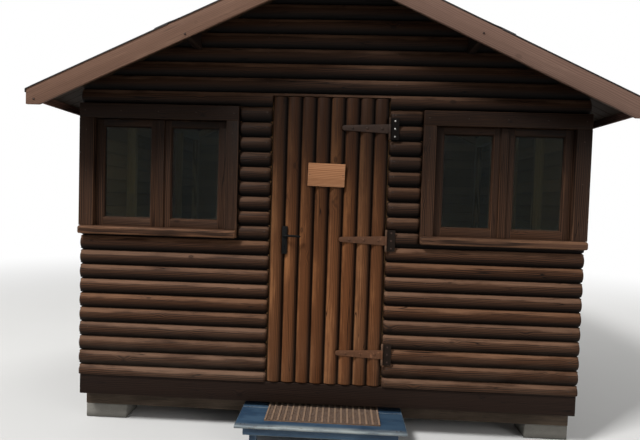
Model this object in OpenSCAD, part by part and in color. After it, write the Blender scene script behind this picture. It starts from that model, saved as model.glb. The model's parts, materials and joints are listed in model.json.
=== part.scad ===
// Gable-fronted timber market hut, clad in half-round log boards, with a T-hinged door
// Millimetres. Origin on the ground under the middle of the hut, front wall towards -Y, +Z up.

/* [Overall size] */
// Width of the hut across the front wall
hut_w = 3460; // [3000:10:4200]
// Depth of the hut from the front log faces to the back log faces
hut_d = 2600; // [2000:10:3600]
// Height of the roof surface over the base, at the outside of a side wall
eave_h = 2019; // [1960:1:2400]
// Slope of the roof in degrees
roof_pitch = 24.8; // [16:0.1:34]

/* [Roof] */
// Overhang of the roof past the side walls
eave_overhang = 209; // [120:1:400]
// Overhang of the roof past the front and back walls
verge_overhang = 280; // [120:1:450]
// Thickness of the roof deck
deck_t = 20; // [12:1:32]
// Thickness of the roof felt
felt_t = 5; // [3:0.5:8]
// Depth of the turned-down edge of the felt
felt_drip = 22; // [10:1:40]
// Width of the ridge felt down each slope
ridge_cap_w = 150; // [100:5:250]
// Plumb depth of the barge boards
barge_depth = 135; // [100:1:200]
// Thickness of the barge boards and eave fascias
barge_t = 20; // [16:1:32]
// Height of the plumb cut at the foot of a barge board
barge_foot_h = 96; // [60:1:130]
// Depth of the eave fascias
fascia_depth = 60; // [50:1:120]
// Depth of the ridge beam
ridge_depth = 140; // [95:5:200]
// Depth of the mid purlins
purlin_depth = 95; // [70:5:145]
// Distance of the mid purlins from the middle of the hut
purlin_x = 921; // [700:1:1150]

/* [Log boards] */
// Height that one log board covers
course_h = 100; // [80:1:125]
// Height of the lowest board, which is cut to fit
first_course = 93; // [40:1:120]
// Radius of the rounded log face
log_r = 60; // [56:1:90]
// Thickness of the log boards at the crest
clad_t = 38; // [34:1:60]
// Width of the dark joint between two boards
seam_w = 5; // [2:0.5:8]
// Depth of the joint from the crest
seam_depth = 31; // [28:1:33]

/* [Frame timbers] */
// Depth of posts and rails, measured through the wall
post_d = 70; // [45:1:95]
// Width of the posts and rails beside openings
post_w = 70; // [45:1:95]
// Width of the plain studs, purlins and joists
stud_w = 45; // [38:1:60]
// Clearance of timbers in their notches and butt joints
joint_gap = 0.5; // [0.3:0.1:1]
// Slack between pieces that lie on each other
seat_gap = 0.1; // [0.05:0.05:0.3]

/* [Base] */
// Height of the foundation blocks
block_h = 100; // [40:5:150]
// Length of a foundation block across the hut
block_l = 300; // [200:10:450]
// Width of a foundation block along the hut's depth
block_w = 200; // [150:10:300]
// Height and width of the floor bearers
bearer = 110; // [75:5:150]
// Setback of the front and back bearers and their blocks behind the base sills
bearer_setback = 98; // [0:1:180]
// Height of the base sills
sill_h = 142; // [100:1:175]
// Setback of the base sills from the log faces
sill_inset = 12; // [5:1:20]
// Thickness of the floor boards
floor_t = 20; // [16:1:28]
// Largest distance between floor joists
joist_pitch = 520; // [400:10:650]

/* [Doorway] */
// Width of the doorway
door_w = 800; // [700:10:1000]
// Height of the doorway over the base
door_h = 1973; // [1800:1:2100]
// Clearance round the door leaf
door_gap = 5; // [5:0.5:10]
// Number of half-round boards in the door
door_board_count = 8; // [6:1:10]
// Width of the ledges on the back of the door
ledge_w = 120; // [90:5:150]
// Thickness of the ledges and braces
ledge_t = 25; // [18:1:32]
// Width of the door stops
stop_w = 20; // [12:1:30]

/* [Hinges] */
// Distance of the lowest hinge from the bottom of the doorway
hinge_from_bottom = 229; // [150:1:350]
// Rise of the middle hinge over halfway between the others
middle_hinge_rise = 13; // [-60:1:60]
// Distance of the highest hinge from the top of the doorway
hinge_from_top = 208; // [150:1:350]
// Length of the hinge straps from the barrel
strap_l = 320; // [250:10:450]
// Width of a strap at the barrel
strap_root_w = 62; // [40:1:70]
// Width of a strap at its rounded tip
strap_tip_w = 34; // [20:1:40]
// Thickness of the hinge plates
plate_t = 4; // [3:0.5:6]
// Height of the wall leaf of a hinge
leaf_h = 145; // [110:5:180]
// Width of the wall leaf past the barrel
leaf_w = 62; // [40:1:70]
// Outer radius of the hinge barrel
barrel_r = 7.5; // [7:0.5:10]
// Radius of the hinge pin
pin_r = 4; // [3:0.5:5]
// Radial clearance of the pin in the barrel
pin_clearance = 0.08; // [0.05:0.01:0.1]
// Gap between two knuckles of a barrel
knuckle_gap = 1; // [0.5:0.1:2]
// Height of the head of the hinge pin
pin_head_h = 3; // [2:0.5:6]

/* [Windows] */
// Width of the log pier between the doorway and a window
pier_w = 225; // [150:5:400]
// Height of the underside of the windows over the base
window_low = 993; // [700:1:1100]
// Height of the top of the windows over the base
window_high = 1893; // [1700:1:1930]
// Width of the casing at the corner of the hut
corner_casing_w = 100; // [90:1:140]
// Width of the casing beside the pier
pier_casing_w = 84; // [60:1:120]
// Height of the casing over a window
head_casing_h = 100; // [70:1:140]
// How far the casings stand out past the log faces
casing_proud = 12; // [5:1:25]
// Height of the window sill
window_sill_h = 57; // [40:1:80]
// How far the window sill stands out past the casings
window_sill_proud = 22; // [10:1:40]
// Fall of the window sill from the casings to its nose
window_sill_fall = 7; // [3:1:12]
// Setback of the sashes from the face of the casings
sash_setback = 37; // [20:1:45]
// Thickness of the sashes
sash_t = 45; // [35:1:60]
// Width of the outer stiles of a sash
stile_w = 52; // [40:1:70]
// Width of the meeting stiles of a sash
meeting_stile_w = 66; // [45:1:80]
// Height of the bottom rail of a sash
bottom_rail_h = 54; // [45:1:90]
// Height of the top rail of a sash
top_rail_h = 43; // [35:1:80]
// Clearance round a sash
sash_gap = 3; // [2:0.5:4]
// Width of the strip that covers the meeting stiles
cover_w = 50; // [30:1:70]
// Thickness of the cover strip
cover_t = 12; // [8:1:20]
// Thickness of the glass
glass_t = 4; // [3:0.5:6]
// Clearance of the glass in its frame
glass_gap = 0.3; // [0.2:0.1:0.8]

/* [Door furniture] */
// Height of the middle of the latch plate over the middle hinge
latch_rise = -18; // [-40:1:40]
// Distance of the latch plate from the free edge of the door
latch_inset = 85; // [60:1:140]
// Height of the latch plate
latch_h = 190; // [150:5:240]
// Width of the latch plate
latch_w = 36; // [30:1:60]
// Depth of the lock case behind the log faces of the door
latch_d = 16; // [12:1:24]
// How far the latch plate stands out past the log faces
latch_proud = 5; // [3:1:8]
// Height of the lever over the middle of the latch plate
lever_rise = 32; // [10:1:60]
// Side of the square spindle through the door
spindle_w = 8; // [7:1:10]
// Length of the lever
lever_l = 108; // [80:1:140]
// Radius of the lever
lever_r = 8; // [6:0.5:11]
// How far the lever stands off the latch plate
lever_standoff = 38; // [30:1:55]
// Width of the sign plate
sign_w = 250; // [180:5:400]
// Height of the sign plate
sign_h = 156; // [100:1:200]
// Thickness of the sign plate
sign_t = 9; // [6:1:18]
// Height of the middle of the sign plate over the base
sign_z = 1443; // [1200:1:1600]
// Place of the middle of the sign plate across the door
sign_x = -19; // [-60:1:60]
// Tilt of the sign plate in degrees
sign_tilt = 1.2; // [0:0.1:3]

/* [Step] */
// Width of the step
step_w = 1100; // [800:10:1400]
// Depth of the step, which runs in under the base sill
step_d = 408; // [380:1:600]
// Depth of the front board of the step
step_front_board = 295; // [240:1:320]
// Gap between the boards of the step
step_board_gap = 5; // [2:0.5:10]
// Drop from the base down to the step
step_drop = 177; // [100:1:220]
// Thickness of the top of the step
step_top_t = 20; // [16:1:36]
// Overhang of the top of the step past its end aprons
step_end_overhang = 53; // [20:1:80]
// Overhang of the top of the step past its front apron
step_nose = 18; // [10:1:40]
// Height of the step aprons
apron_h = 46; // [30:1:90]
// Thickness of the step aprons
apron_t = 20; // [15:1:30]
// Side of the square step legs
step_leg = 46; // [35:1:60]
// Distance of the legs from the ends of the top
step_leg_inset = 93; // [80:1:200]
// Width of the mat on the step
mat_w = 756; // [500:1:900]
// Depth of the mat
mat_d = 318; // [150:1:360]
// Place of the middle of the mat across the step
mat_x = 8; // [-60:1:60]
// Thickness of the mat between its ribs
mat_t = 5; // [3:1:8]
// Height of the ribs over the mat
mat_rib_h = 5; // [3:1:10]
// Width of a rib
mat_rib_w = 12; // [6:1:20]
// Largest spacing of the ribs
mat_rib_pitch = 43; // [30:1:60]

/* [Hidden] */

stain = "#3a2a24";
worn_stain = "#7a5040";
frame_wood = "#8a6a4a";

front_y = -hut_d / 2;
base_z = block_h + bearer + sill_h;
slope = tan(roof_pitch);
plumb_deck = deck_t / cos(roof_pitch);
plumb_felt = felt_t / cos(roof_pitch);
plumb_rail = post_d / cos(roof_pitch);
eave_x = hut_w / 2 + eave_overhang;
deck_y = hut_d / 2 + verge_overhang - barge_t;
verge_y = hut_d / 2 + verge_overhang;
wall_in = hut_w / 2 - clad_t;
plate_in = wall_in - post_d;
frame_y = front_y + clad_t;
sill_w = clad_t + post_d - sill_inset;
floor_z = base_z - floor_t;
joist_z = block_h + bearer;
window_x0 = door_w / 2 + pier_w;
sash_x0 = window_x0 + pier_casing_w;
sash_x1 = hut_w / 2 - corner_casing_w;
sash_z0 = window_low + window_sill_h;
sash_z1 = window_high - head_casing_h;
sash_y = front_y - casing_proud + sash_setback;
sash_w = (sash_x1 - sash_x0 - 3 * sash_gap) / 2;
hinge_x = (door_w - door_gap) / 2;
hinge_y = front_y - barrel_r;
leaf_x = door_w / 2 - door_gap;
door_board_w = 2 * leaf_x / door_board_count;
high_hinge = door_h - hinge_from_top;
middle_hinge = (hinge_from_bottom + high_hinge) / 2 + middle_hinge_rise;
hinge_heights = [hinge_from_bottom, middle_hinge, high_hinge];
latch_z = middle_hinge + latch_rise;
step_z = base_z - step_drop;
step_back = front_y + sill_inset + bearer_setback - seat_gap;
long = 2 * (hut_w + hut_d);

// Height of the roof surface at distance x from the middle
function roof_z(x) = base_z + eave_h + slope * (hut_w / 2 - abs(x));
// Height of the underside of the deck at distance x from the middle
function deck_under(x) = roof_z(x) - plumb_deck;
// Even spacing of n pieces from a to b
function spread(a, b, n) = [for (i = [0 : n - 1]) a + (b - a) * (n == 1 ? 0.5 : i / (n - 1))];

// A box between two corners
module slab(x, y, z) {
    translate([x[0], y[0], z[0]])
        cube([x[1] - x[0], y[1] - y[0], z[1] - z[0]]);
}

module both_sides() {
    children();
    mirror([1, 0, 0]) children();
}

module both_ends() {
    children();
    mirror([0, 1, 0]) children();
}

// An outline drawn in X and Z, drawn out from y0 to y1
module across(y0, y1) {
    translate([0, y1, 0])
        rotate([90, 0, 0])
            linear_extrude(height = y1 - y0)
                children();
}

// An outline drawn in Y and Z, drawn out from x0 to x1
module along_front(x0, x1) {
    translate([x0, 0, 0])
        rotate([90, 0, 90])
            linear_extrude(height = x1 - x0)
                children();
}

// A bevel-topped timber that reaches up to the deck, on the right of the middle
module under_deck_outline(x0, x1, low) {
    polygon([[x0, low], [x1, low], [x1, deck_under(x1)], [x0, deck_under(x0)]]);
}

// The space under the roof deck, over the whole hut
module under_roof(drop = 0) {
    edge = hut_w / 2 + clad_t;
    across(-long / 2, long / 2)
        polygon([[-edge, 0], [edge, 0], [edge, deck_under(edge) - drop], [0, deck_under(0) - drop],
            [-edge, deck_under(edge) - drop]]);
}

// Half-round boards side by side: crests at x = 0, back at x = clad_t, from low to high along y
module half_rounds(low, high, pitch, start) {
    first = floor((low - start) / pitch);
    last = ceil((high - start) / pitch) - 1;
    intersection() {
        translate([0, low]) square([clad_t, high - low]);
        difference() {
            union() {
                translate([seam_depth, low]) square([clad_t - seam_depth, high - low]);
                for (i = [first : last])
                    translate([log_r, start + (i + 0.5) * pitch]) circle(r = log_r, $fn = 64);
            }
            for (i = [first : last + 1])
                translate([-1, start + i * pitch - seam_w / 2]) square([seam_depth + 1, seam_w]);
        }
    }
}

// Log boards on the front wall between two places across and two heights over the base
module front_logs(x0, x1, low, high) {
    translate([0, front_y, base_z])
        along_front(x0, x1)
            half_rounds(low, high, course_h, first_course);
}

// Log boards on the left wall, up to a height over the base
module left_logs(y0, y1, high) {
    translate([-hut_w / 2, 0, base_z])
        across(y0, y1)
            half_rounds(0, high, course_h, first_course);
}

// Base

module foundation_blocks() {
    edge = hut_w / 2 - sill_inset - block_l / 2;
    row = hut_d / 2 - sill_inset - bearer_setback - block_w / 2;
    color("#8c8a85")
        for (x = [-edge, 0, edge], y = [-row, 0, row])
            translate([x - block_l / 2, y - block_w / 2, 0]) cube([block_l, block_w, block_h]);
}

module floor_bearers() {
    edge = hut_w / 2 - sill_inset;
    row = hut_d / 2 - sill_inset - bearer_setback - bearer / 2;
    color(frame_wood)
        for (y = [-row, 0, row])
            slab([-edge, edge], [y - bearer / 2, y + bearer / 2], [block_h, block_h + bearer]);
}

module base_sills() {
    edge = hut_w / 2 - sill_inset;
    front = front_y + sill_inset;
    color(stain) {
        both_ends() slab([-edge, edge], [front, front + sill_w], [joist_z, base_z]);
        both_sides()
            slab([edge - sill_w, edge], [front + sill_w + joint_gap, -front - sill_w - joint_gap],
                [joist_z, base_z]);
    }
}

module floor_joists() {
    edge = hut_w / 2 - sill_inset - sill_w - stud_w / 2;
    end = hut_d / 2 - sill_inset - sill_w;
    color(frame_wood)
        for (x = spread(-edge, edge, ceil(2 * edge / joist_pitch) + 1))
            slab([x - stud_w / 2, x + stud_w / 2], [-end, end], [joist_z, floor_z]);
}

module floor_boards() {
    edge = hut_w / 2 - sill_inset - sill_w;
    end = hut_d / 2 - sill_inset - sill_w;
    color(frame_wood) slab([-edge, edge], [-end, end], [floor_z, base_z]);
}

// Walls of half-round log boards

module front_wall_right() {
    color(worn_stain) front_logs(door_w / 2, hut_w / 2, 0, window_low);
}

module front_wall_left() {
    color(worn_stain) front_logs(-hut_w / 2, -door_w / 2, 0, window_low);
}

module front_piers() {
    color(stain) {
        front_logs(door_w / 2, window_x0, window_low, window_high);
        front_logs(-window_x0, -door_w / 2, window_low, window_high);
    }
}

// Notches in a gable for the ridge beam and purlins
module purlin_notches() {
    across(-long / 2, long / 2) {
        ridge_outline(joint_gap);
        purlin_outline(joint_gap);
        mirror([1, 0]) purlin_outline(joint_gap);
    }
}

module front_gable() {
    top = deck_under(0) - base_z;
    color(stain)
        difference() {
            intersection() {
                front_logs(-hut_w / 2, hut_w / 2, window_high, top);
                under_roof();
            }
            slab([-door_w / 2, door_w / 2], [front_y - 1, front_y + clad_t + 1], [base_z, base_z + door_h]);
            purlin_notches();
        }
}

module back_wall() {
    top = deck_under(0) - base_z;
    color(stain)
        difference() {
            intersection() {
                mirror([0, 1, 0]) front_logs(-hut_w / 2, hut_w / 2, 0, top);
                under_roof();
            }
            purlin_notches();
        }
}

module side_logs() {
    end = hut_d / 2 - clad_t;
    top = deck_under(plate_in) - base_z;
    intersection() {
        left_logs(-end, end, top);
        under_roof();
    }
}

module left_wall() {
    color(stain) side_logs();
}

module right_wall() {
    color(stain) mirror([1, 0, 0]) side_logs();
}

// Frame behind the log boards

module corner_posts() {
    top = plate_bottom();
    color(frame_wood)
        both_ends() both_sides()
            slab([sash_x1, wall_in], [frame_y, frame_y + post_d], [base_z, top]);
}

// Underside of the wall plates
function plate_bottom() = deck_under(wall_in) - post_d;

module wall_plates() {
    end = hut_d / 2 - clad_t;
    color(frame_wood)
        both_sides()
            across(-end, end)
                under_deck_outline(plate_in, wall_in, plate_bottom());
}

// Posts beside the doorway, and posts beside the windows that reach up to the gable rails
module opening_posts() {
    color(frame_wood)
        both_sides() {
            slab([door_w / 2, door_w / 2 + post_w], [frame_y, frame_y + post_d], [base_z, base_z + door_h]);
            intersection() {
                slab([sash_x0 - post_w, sash_x0], [frame_y, frame_y + post_d], [base_z, base_z + long]);
                under_roof(plumb_rail + seat_gap);
            }
        }
}

module wall_studs() {
    end = hut_d / 2 - clad_t - post_d;
    top = plate_bottom();
    color(frame_wood) {
        both_sides()
            for (y = [-end / 2, 0, end / 2])
                slab([plate_in, wall_in], [y - stud_w / 2, y + stud_w / 2], [base_z, top]);
        intersection() {
            for (x = [-purlin_x, purlin_x])
                slab([x - stud_w / 2, x + stud_w / 2], [end, end + post_d],
                    [base_z, deck_under(purlin_x) - purlin_depth - seat_gap]);
            under_roof();
        }
        slab([-stud_w / 2, stud_w / 2], [end, end + post_d], [base_z, ridge_bottom() - seat_gap]);
        slab([-stud_w / 2, stud_w / 2], [-end - post_d, -end],
            [base_z + door_h + post_w, ridge_bottom() - seat_gap]);
    }
}

// Rails under and over the windows, and the lintel over the doorway
module front_rails() {
    edge = sash_x0 - post_w;
    low = base_z + sash_z0;
    high = base_z + sash_z1;
    lintel = base_z + door_h;
    color(frame_wood) {
        both_sides() {
            slab([sash_x0, sash_x1], [frame_y, frame_y + post_d], [low - post_w, low]);
            slab([sash_x0, sash_x1], [frame_y, frame_y + post_d], [high, high + post_w]);
        }
        intersection() {
            slab([-edge, edge], [frame_y, frame_y + post_d], [lintel, lintel + post_w]);
            under_roof(plumb_rail + seat_gap);
        }
    }
}

// Sloping rails under the deck at both gables, fitted between purlins and plates
module gable_rails() {
    y0 = frame_y;
    color(frame_wood)
        both_ends() both_sides()
            across(y0, y0 + post_d) {
                rail_outline(stud_w / 2 + joint_gap, purlin_x - stud_w / 2 - joint_gap);
                rail_outline(purlin_x + stud_w / 2 + joint_gap, plate_in - joint_gap);
            }
}

module rail_outline(x0, x1) {
    polygon([[x0, deck_under(x0) - plumb_rail], [x1, deck_under(x1) - plumb_rail], [x1, deck_under(x1)],
        [x0, deck_under(x0)]]);
}

// Roof

// Underside of the ridge beam
function ridge_bottom() = deck_under(stud_w / 2) - ridge_depth;

// Outline of the ridge beam, or of its notch where it is larger by a clearance
module ridge_outline(grow = 0) {
    x = stud_w / 2 + grow;
    low = ridge_bottom() - grow;
    side = deck_under(x) + grow;
    polygon([[-x, low], [x, low], [x, side], [0, deck_under(0) + grow], [-x, side]]);
}

// Outline of the right-hand purlin, or of its notch
module purlin_outline(grow = 0) {
    x0 = purlin_x - stud_w / 2 - grow;
    x1 = purlin_x + stud_w / 2 + grow;
    low = deck_under(purlin_x) - purlin_depth - grow;
    polygon([[x0, low], [x1, low], [x1, deck_under(x1) + grow], [x0, deck_under(x0) + grow]]);
}

module roof_purlins() {
    color(frame_wood)
        across(-deck_y, deck_y) {
            ridge_outline();
            purlin_outline();
            mirror([1, 0]) purlin_outline();
        }
}

module deck_right() {
    x = eave_x - barge_t;
    across(-deck_y, deck_y)
        polygon([[0, roof_z(0)], [x, roof_z(x)], [x, deck_under(x) + seat_gap],
            [0, deck_under(0) + seat_gap]]);
}

module roof_deck_right() {
    color(frame_wood) deck_right();
}

module roof_deck_left() {
    color(frame_wood) mirror([1, 0, 0]) deck_right();
}

// Felt over the deck, turned down over the fascia
module felt_right() {
    x0 = eave_x + seat_gap;
    x1 = x0 + felt_t;
    low = roof_z(eave_x) - felt_drip;
    across(-verge_y - felt_t, verge_y + felt_t)
        polygon([[0, roof_z(0) + seat_gap], [x0, roof_z(x0) + seat_gap], [x0, low], [x1, low],
            [x1, roof_z(x1) + plumb_felt], [0, roof_z(0) + plumb_felt]]);
}

module roof_felt_right() {
    color("#2e2c2e") felt_right();
}

module roof_felt_left() {
    color("#2e2c2e") mirror([1, 0, 0]) felt_right();
}

module ridge_cap() {
    x = ridge_cap_w * cos(roof_pitch);
    low = plumb_felt + seat_gap;
    high = low + plumb_felt;
    color("#2a282a")
        across(-verge_y - felt_t, verge_y + felt_t)
            polygon([[-x, roof_z(x) + low], [0, roof_z(0) + low], [x, roof_z(x) + low], [x, roof_z(x) + high],
                [0, roof_z(0) + high], [-x, roof_z(x) + high]]);
}

// Barge board with a plumb joint at the ridge, and a plumb and a level cut at the foot
module barge_right() {
    foot_z = roof_z(eave_x) - barge_foot_h;
    foot_x = eave_x - (barge_depth - barge_foot_h) / slope;
    across(-verge_y, -deck_y)
        polygon([[joint_gap / 2, roof_z(joint_gap / 2)], [eave_x, roof_z(eave_x)], [eave_x, foot_z],
            [foot_x, foot_z], [joint_gap / 2, roof_z(joint_gap / 2) - barge_depth]]);
}

module barge_boards_front() {
    color("#6a4c48") both_sides() barge_right();
}

module barge_boards_back() {
    color("#6a4c48") mirror([0, 1, 0]) both_sides() barge_right();
}

module eave_fascias() {
    x = eave_x - barge_t;
    low = roof_z(eave_x) - fascia_depth;
    color(stain)
        both_sides()
            across(-deck_y, deck_y)
                polygon([[x, low], [eave_x, low], [eave_x, roof_z(eave_x)], [x, roof_z(x)]]);
}

// Windows

module window_heads() {
    color(stain)
        both_sides()
            slab([window_x0, hut_w / 2], [front_y - casing_proud, frame_y],
                [base_z + sash_z1, base_z + window_high]);
}

// Sills with a top that sheds water past the casings
module window_sills() {
    face = front_y - casing_proud;
    nose = face - window_sill_proud;
    low = base_z + window_low;
    color(stain)
        both_sides()
            along_front(window_x0, hut_w / 2)
                polygon([[nose, low + joint_gap], [frame_y, low + joint_gap], [frame_y, base_z + sash_z0],
                    [face, base_z + sash_z0], [nose, base_z + sash_z0 - window_sill_fall]]);
}

module window_jambs() {
    y = [front_y - casing_proud, frame_y];
    z = [base_z + sash_z0, base_z + sash_z1];
    color(stain)
        both_sides() {
            slab([window_x0, sash_x0], y, z);
            slab([sash_x1, hut_w / 2], y, z);
        }
}

// Places of the four stiles of a window, each as [near, far]
function stile_spans() = [
    [sash_x0 + sash_gap, sash_x0 + sash_gap + stile_w],
    [sash_x0 + sash_gap + sash_w - meeting_stile_w, sash_x0 + sash_gap + sash_w],
    [sash_x1 - sash_gap - sash_w, sash_x1 - sash_gap - sash_w + meeting_stile_w],
    [sash_x1 - sash_gap - stile_w, sash_x1 - sash_gap]
];

module sash_stiles() {
    color(stain)
        both_sides()
            for (s = stile_spans())
                slab(s, [sash_y, sash_y + sash_t], [base_z + sash_z0, base_z + sash_z1 - sash_gap]);
}

module sash_rails() {
    s = stile_spans();
    top = base_z + sash_z1 - sash_gap;
    low = base_z + sash_z0;
    color(stain)
        both_sides()
            for (pane = [[s[0][1], s[1][0]], [s[2][1], s[3][0]]]) {
                slab(pane, [sash_y, sash_y + sash_t], [low, low + bottom_rail_h]);
                slab(pane, [sash_y, sash_y + sash_t], [top - top_rail_h, top]);
            }
}

module window_cover_strips() {
    mid = (sash_x0 + sash_x1) / 2;
    color(stain)
        both_sides()
            slab([mid - cover_w / 2, mid + cover_w / 2], [sash_y - cover_t, sash_y],
                [base_z + sash_z0, base_z + sash_z1 - sash_gap]);
}

module window_glass() {
    s = stile_spans();
    y = sash_y + (sash_t - glass_t) / 2;
    low = base_z + sash_z0 + bottom_rail_h + glass_gap;
    high = base_z + sash_z1 - sash_gap - top_rail_h - glass_gap;
    color("#4a5a5c", 0.5)
        both_sides()
            for (pane = [[s[0][1], s[1][0]], [s[2][1], s[3][0]]])
                slab([pane[0] + glass_gap, pane[1] - glass_gap], [y, y + glass_t], [low, high]);
}

// Door

// Middle of the latch plate across the door
function latch_x() = -leaf_x + latch_inset + latch_w / 2;

module door_boards() {
    color("#8a5a40")
        difference() {
            translate([-leaf_x, front_y, base_z + door_gap])
                linear_extrude(height = door_h - 2 * door_gap)
                    rotate(90)
                        mirror([0, 1])
                            half_rounds(0, 2 * leaf_x, door_board_w, 0);
            lock_case(front_y + latch_d, joint_gap);
            spindle(joint_gap);
        }
}

// Lock case from the latch plate back to a place along Y, or its pocket where it is larger by a clearance
module lock_case(back, grow = 0) {
    x = latch_w / 2 + grow;
    z = latch_h / 2 + grow;
    translate([latch_x(), 0, base_z + latch_z])
        slab([-x, x], [front_y - latch_proud, back + grow], [-z, z]);
}

// Spindle from plate to plate through the door, or its hole
module spindle(grow = 0) {
    half = spindle_w / 2 + grow;
    translate([latch_x(), 0, base_z + latch_z + lever_rise])
        slab([-half, half], [front_y, frame_y + ledge_t + plate_t], [-half, half]);
}

// Ledges behind the hinges, with a brace that rises from the hinge side in each bay
module door_ledges() {
    half = leaf_x - stop_w - 2 * door_gap;
    y = [frame_y, frame_y + ledge_t];
    color("#6a4a3a") {
        difference() {
            for (z = hinge_heights)
                slab([-half, half], y, [base_z + z - ledge_w / 2, base_z + z + ledge_w / 2]);
            spindle(joint_gap);
        }
        for (i = [0 : len(hinge_heights) - 2]) {
            low = base_z + hinge_heights[i] + ledge_w / 2 + joint_gap;
            high = base_z + hinge_heights[i + 1] - ledge_w / 2 - joint_gap;
            across(y[0], y[1])
                polygon([[half - ledge_w, low], [half, low], [-half + ledge_w, high], [-half, high]]);
        }
    }
}

// Battens that the closed door meets
module door_stops() {
    inner = door_w / 2 - stop_w;
    y = [frame_y + door_gap, frame_y + post_d];
    top = base_z + door_h;
    color(frame_wood) {
        both_sides() slab([inner, door_w / 2], y, [base_z, top - stop_w - joint_gap]);
        slab([-door_w / 2, door_w / 2], y, [top - stop_w, top]);
    }
}

// Barrel knuckles between two heights, with the bore left for the pin
module knuckle(low, high) {
    translate([hinge_x, hinge_y, low]) cylinder(r = barrel_r, h = high - low, $fn = 48);
}

module pin_bore() {
    translate([hinge_x, hinge_y, base_z - long / 2])
        cylinder(r = pin_r + pin_clearance, h = long, $fn = 48);
}

// Tapered strap with a rounded tip, carried by the middle knuckle
module hinge_strap(z) {
    root = strap_root_w / 2;
    tip = strap_tip_w / 2;
    end = hinge_x - strap_l;
    difference() {
        union() {
            across(front_y - plate_t, front_y)
                union() {
                    polygon([[hinge_x, z - root], [hinge_x, z + root],
                        [end + tip, z + tip], [end + tip, z - tip]]);
                    translate([end + tip, z]) circle(r = tip, $fn = 48);
                }
            knuckle(z - root, z + root);
        }
        pin_bore();
    }
}

module hinge_straps() {
    color("#5a4640")
        for (z = hinge_heights) hinge_strap(base_z + z);
}

// Wall leaf with a knuckle over and under the strap, and a pin held fast in both
module hinge_leaf(z) {
    root = strap_root_w / 2 + knuckle_gap;
    difference() {
        slab([hinge_x, hinge_x + leaf_w], [front_y - plate_t, front_y], [z - leaf_h / 2, z + leaf_h / 2]);
        slab([hinge_x - barrel_r, hinge_x + barrel_r + knuckle_gap], [front_y - 2 * barrel_r, front_y + 1],
            [z - root, z + root]);
    }
    knuckle(z - leaf_h / 2, z - root);
    knuckle(z + root, z + leaf_h / 2);
    translate([hinge_x, hinge_y, z - leaf_h / 2]) {
        cylinder(r = pin_r, h = leaf_h, $fn = 48);
        translate([0, 0, leaf_h]) cylinder(r = barrel_r - 1, h = pin_head_h, $fn = 48);
    }
}

module hinge_leaves() {
    color("#1e1c1e")
        for (z = hinge_heights) hinge_leaf(base_z + z);
}

// Lock case let into the boards, and a plate on the middle ledge inside, joined by the spindle of two levers
module door_handle() {
    x = [latch_x() - latch_w / 2, latch_x() + latch_w / 2];
    inside = frame_y + ledge_t + plate_t;
    ledge = base_z + middle_hinge;
    lever_z = base_z + latch_z + lever_rise;
    color("#242222") {
        lock_case(front_y + latch_d);
        spindle();
        translate([latch_x(), front_y - latch_proud, lever_z]) rotate([90, 0, 0]) lever();
        slab(x, [inside - plate_t + seat_gap, inside], [ledge - ledge_w / 2, ledge + ledge_w / 2]);
        translate([latch_x(), inside, lever_z]) mirror([0, 1, 0]) rotate([90, 0, 0]) lever();
    }
}

// Lever that points along +X, standing out along +Z
module lever() {
    cylinder(r = lever_r, h = lever_standoff, $fn = 32);
    translate([0, 0, lever_standoff - lever_r]) {
        rotate([0, 90, 0]) cylinder(r = lever_r, h = lever_l, $fn = 32);
        translate([lever_l, 0, 0]) sphere(r = lever_r, $fn = 32);
    }
}

module sign_plate() {
    color("#c8a070")
        translate([sign_x, front_y - sign_t, base_z + sign_z])
            rotate([0, sign_tilt, 0])
                translate([-sign_w / 2, 0, -sign_h / 2]) cube([sign_w, sign_t, sign_h]);
}

// Step in front of the door

// Top of the step: a front board with a round nose, and a back board that runs in under the base sill
module step_top() {
    r = step_top_t / 2;
    nose = step_back - step_d + r;
    seam = step_back - step_d + step_front_board;
    low = step_z - step_top_t;
    color("#6a7684") {
        along_front(-step_w / 2, step_w / 2) {
            translate([nose, step_z - r]) circle(r = r, $fn = 48);
            translate([nose, low]) square([seam - nose, step_top_t]);
        }
        slab([-step_w / 2, step_w / 2], [seam + step_board_gap, step_back], [low, step_z]);
    }
}

module step_frame() {
    end = step_w / 2 - step_end_overhang;
    front = step_back - step_d + step_nose;
    inner = [front + apron_t + joint_gap, step_back - apron_t - joint_gap];
    top = step_z - step_top_t - seat_gap;
    z = [top - apron_h, top];
    leg_x = step_w / 2 - step_leg_inset;
    color("#5c6672") {
        slab([-end, end], [front, front + apron_t], z);
        slab([-end, end], [step_back - apron_t, step_back], z);
        both_sides() {
            slab([end - apron_t, end], inner, z);
            for (y = [inner[0], inner[1] - step_leg])
                slab([leg_x - step_leg, leg_x], [y, y + step_leg], [0, top]);
        }
    }
}

// Mat with ribs that run back from the nose of the step
module step_mat() {
    edge = (mat_w - mat_rib_w) / 2;
    back = step_back;
    low = step_z + seat_gap;
    color("#6e5a50")
        translate([mat_x, 0, 0]) {
            slab([-mat_w / 2, mat_w / 2], [back - mat_d, back], [low, low + mat_t]);
            for (x = spread(-edge, edge, ceil(2 * edge / mat_rib_pitch) + 1))
                slab([x - mat_rib_w / 2, x + mat_rib_w / 2], [back - mat_d, back],
                    [low + mat_t / 2, low + mat_t + mat_rib_h]);
        }
}

foundation_blocks();
floor_bearers();
base_sills();
floor_joists();
floor_boards();
front_wall_left();
front_wall_right();
front_piers();
front_gable();
left_wall();
right_wall();
back_wall();
corner_posts();
opening_posts();
wall_studs();
front_rails();
wall_plates();
gable_rails();
roof_purlins();
roof_deck_left();
roof_deck_right();
roof_felt_left();
roof_felt_right();
ridge_cap();
barge_boards_front();
barge_boards_back();
eave_fascias();
window_heads();
window_sills();
window_jambs();
sash_stiles();
sash_rails();
window_cover_strips();
window_glass();
door_boards();
door_ledges();
door_stops();
hinge_straps();
hinge_leaves();
door_handle();
sign_plate();
step_top();
step_frame();
step_mat();
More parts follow.
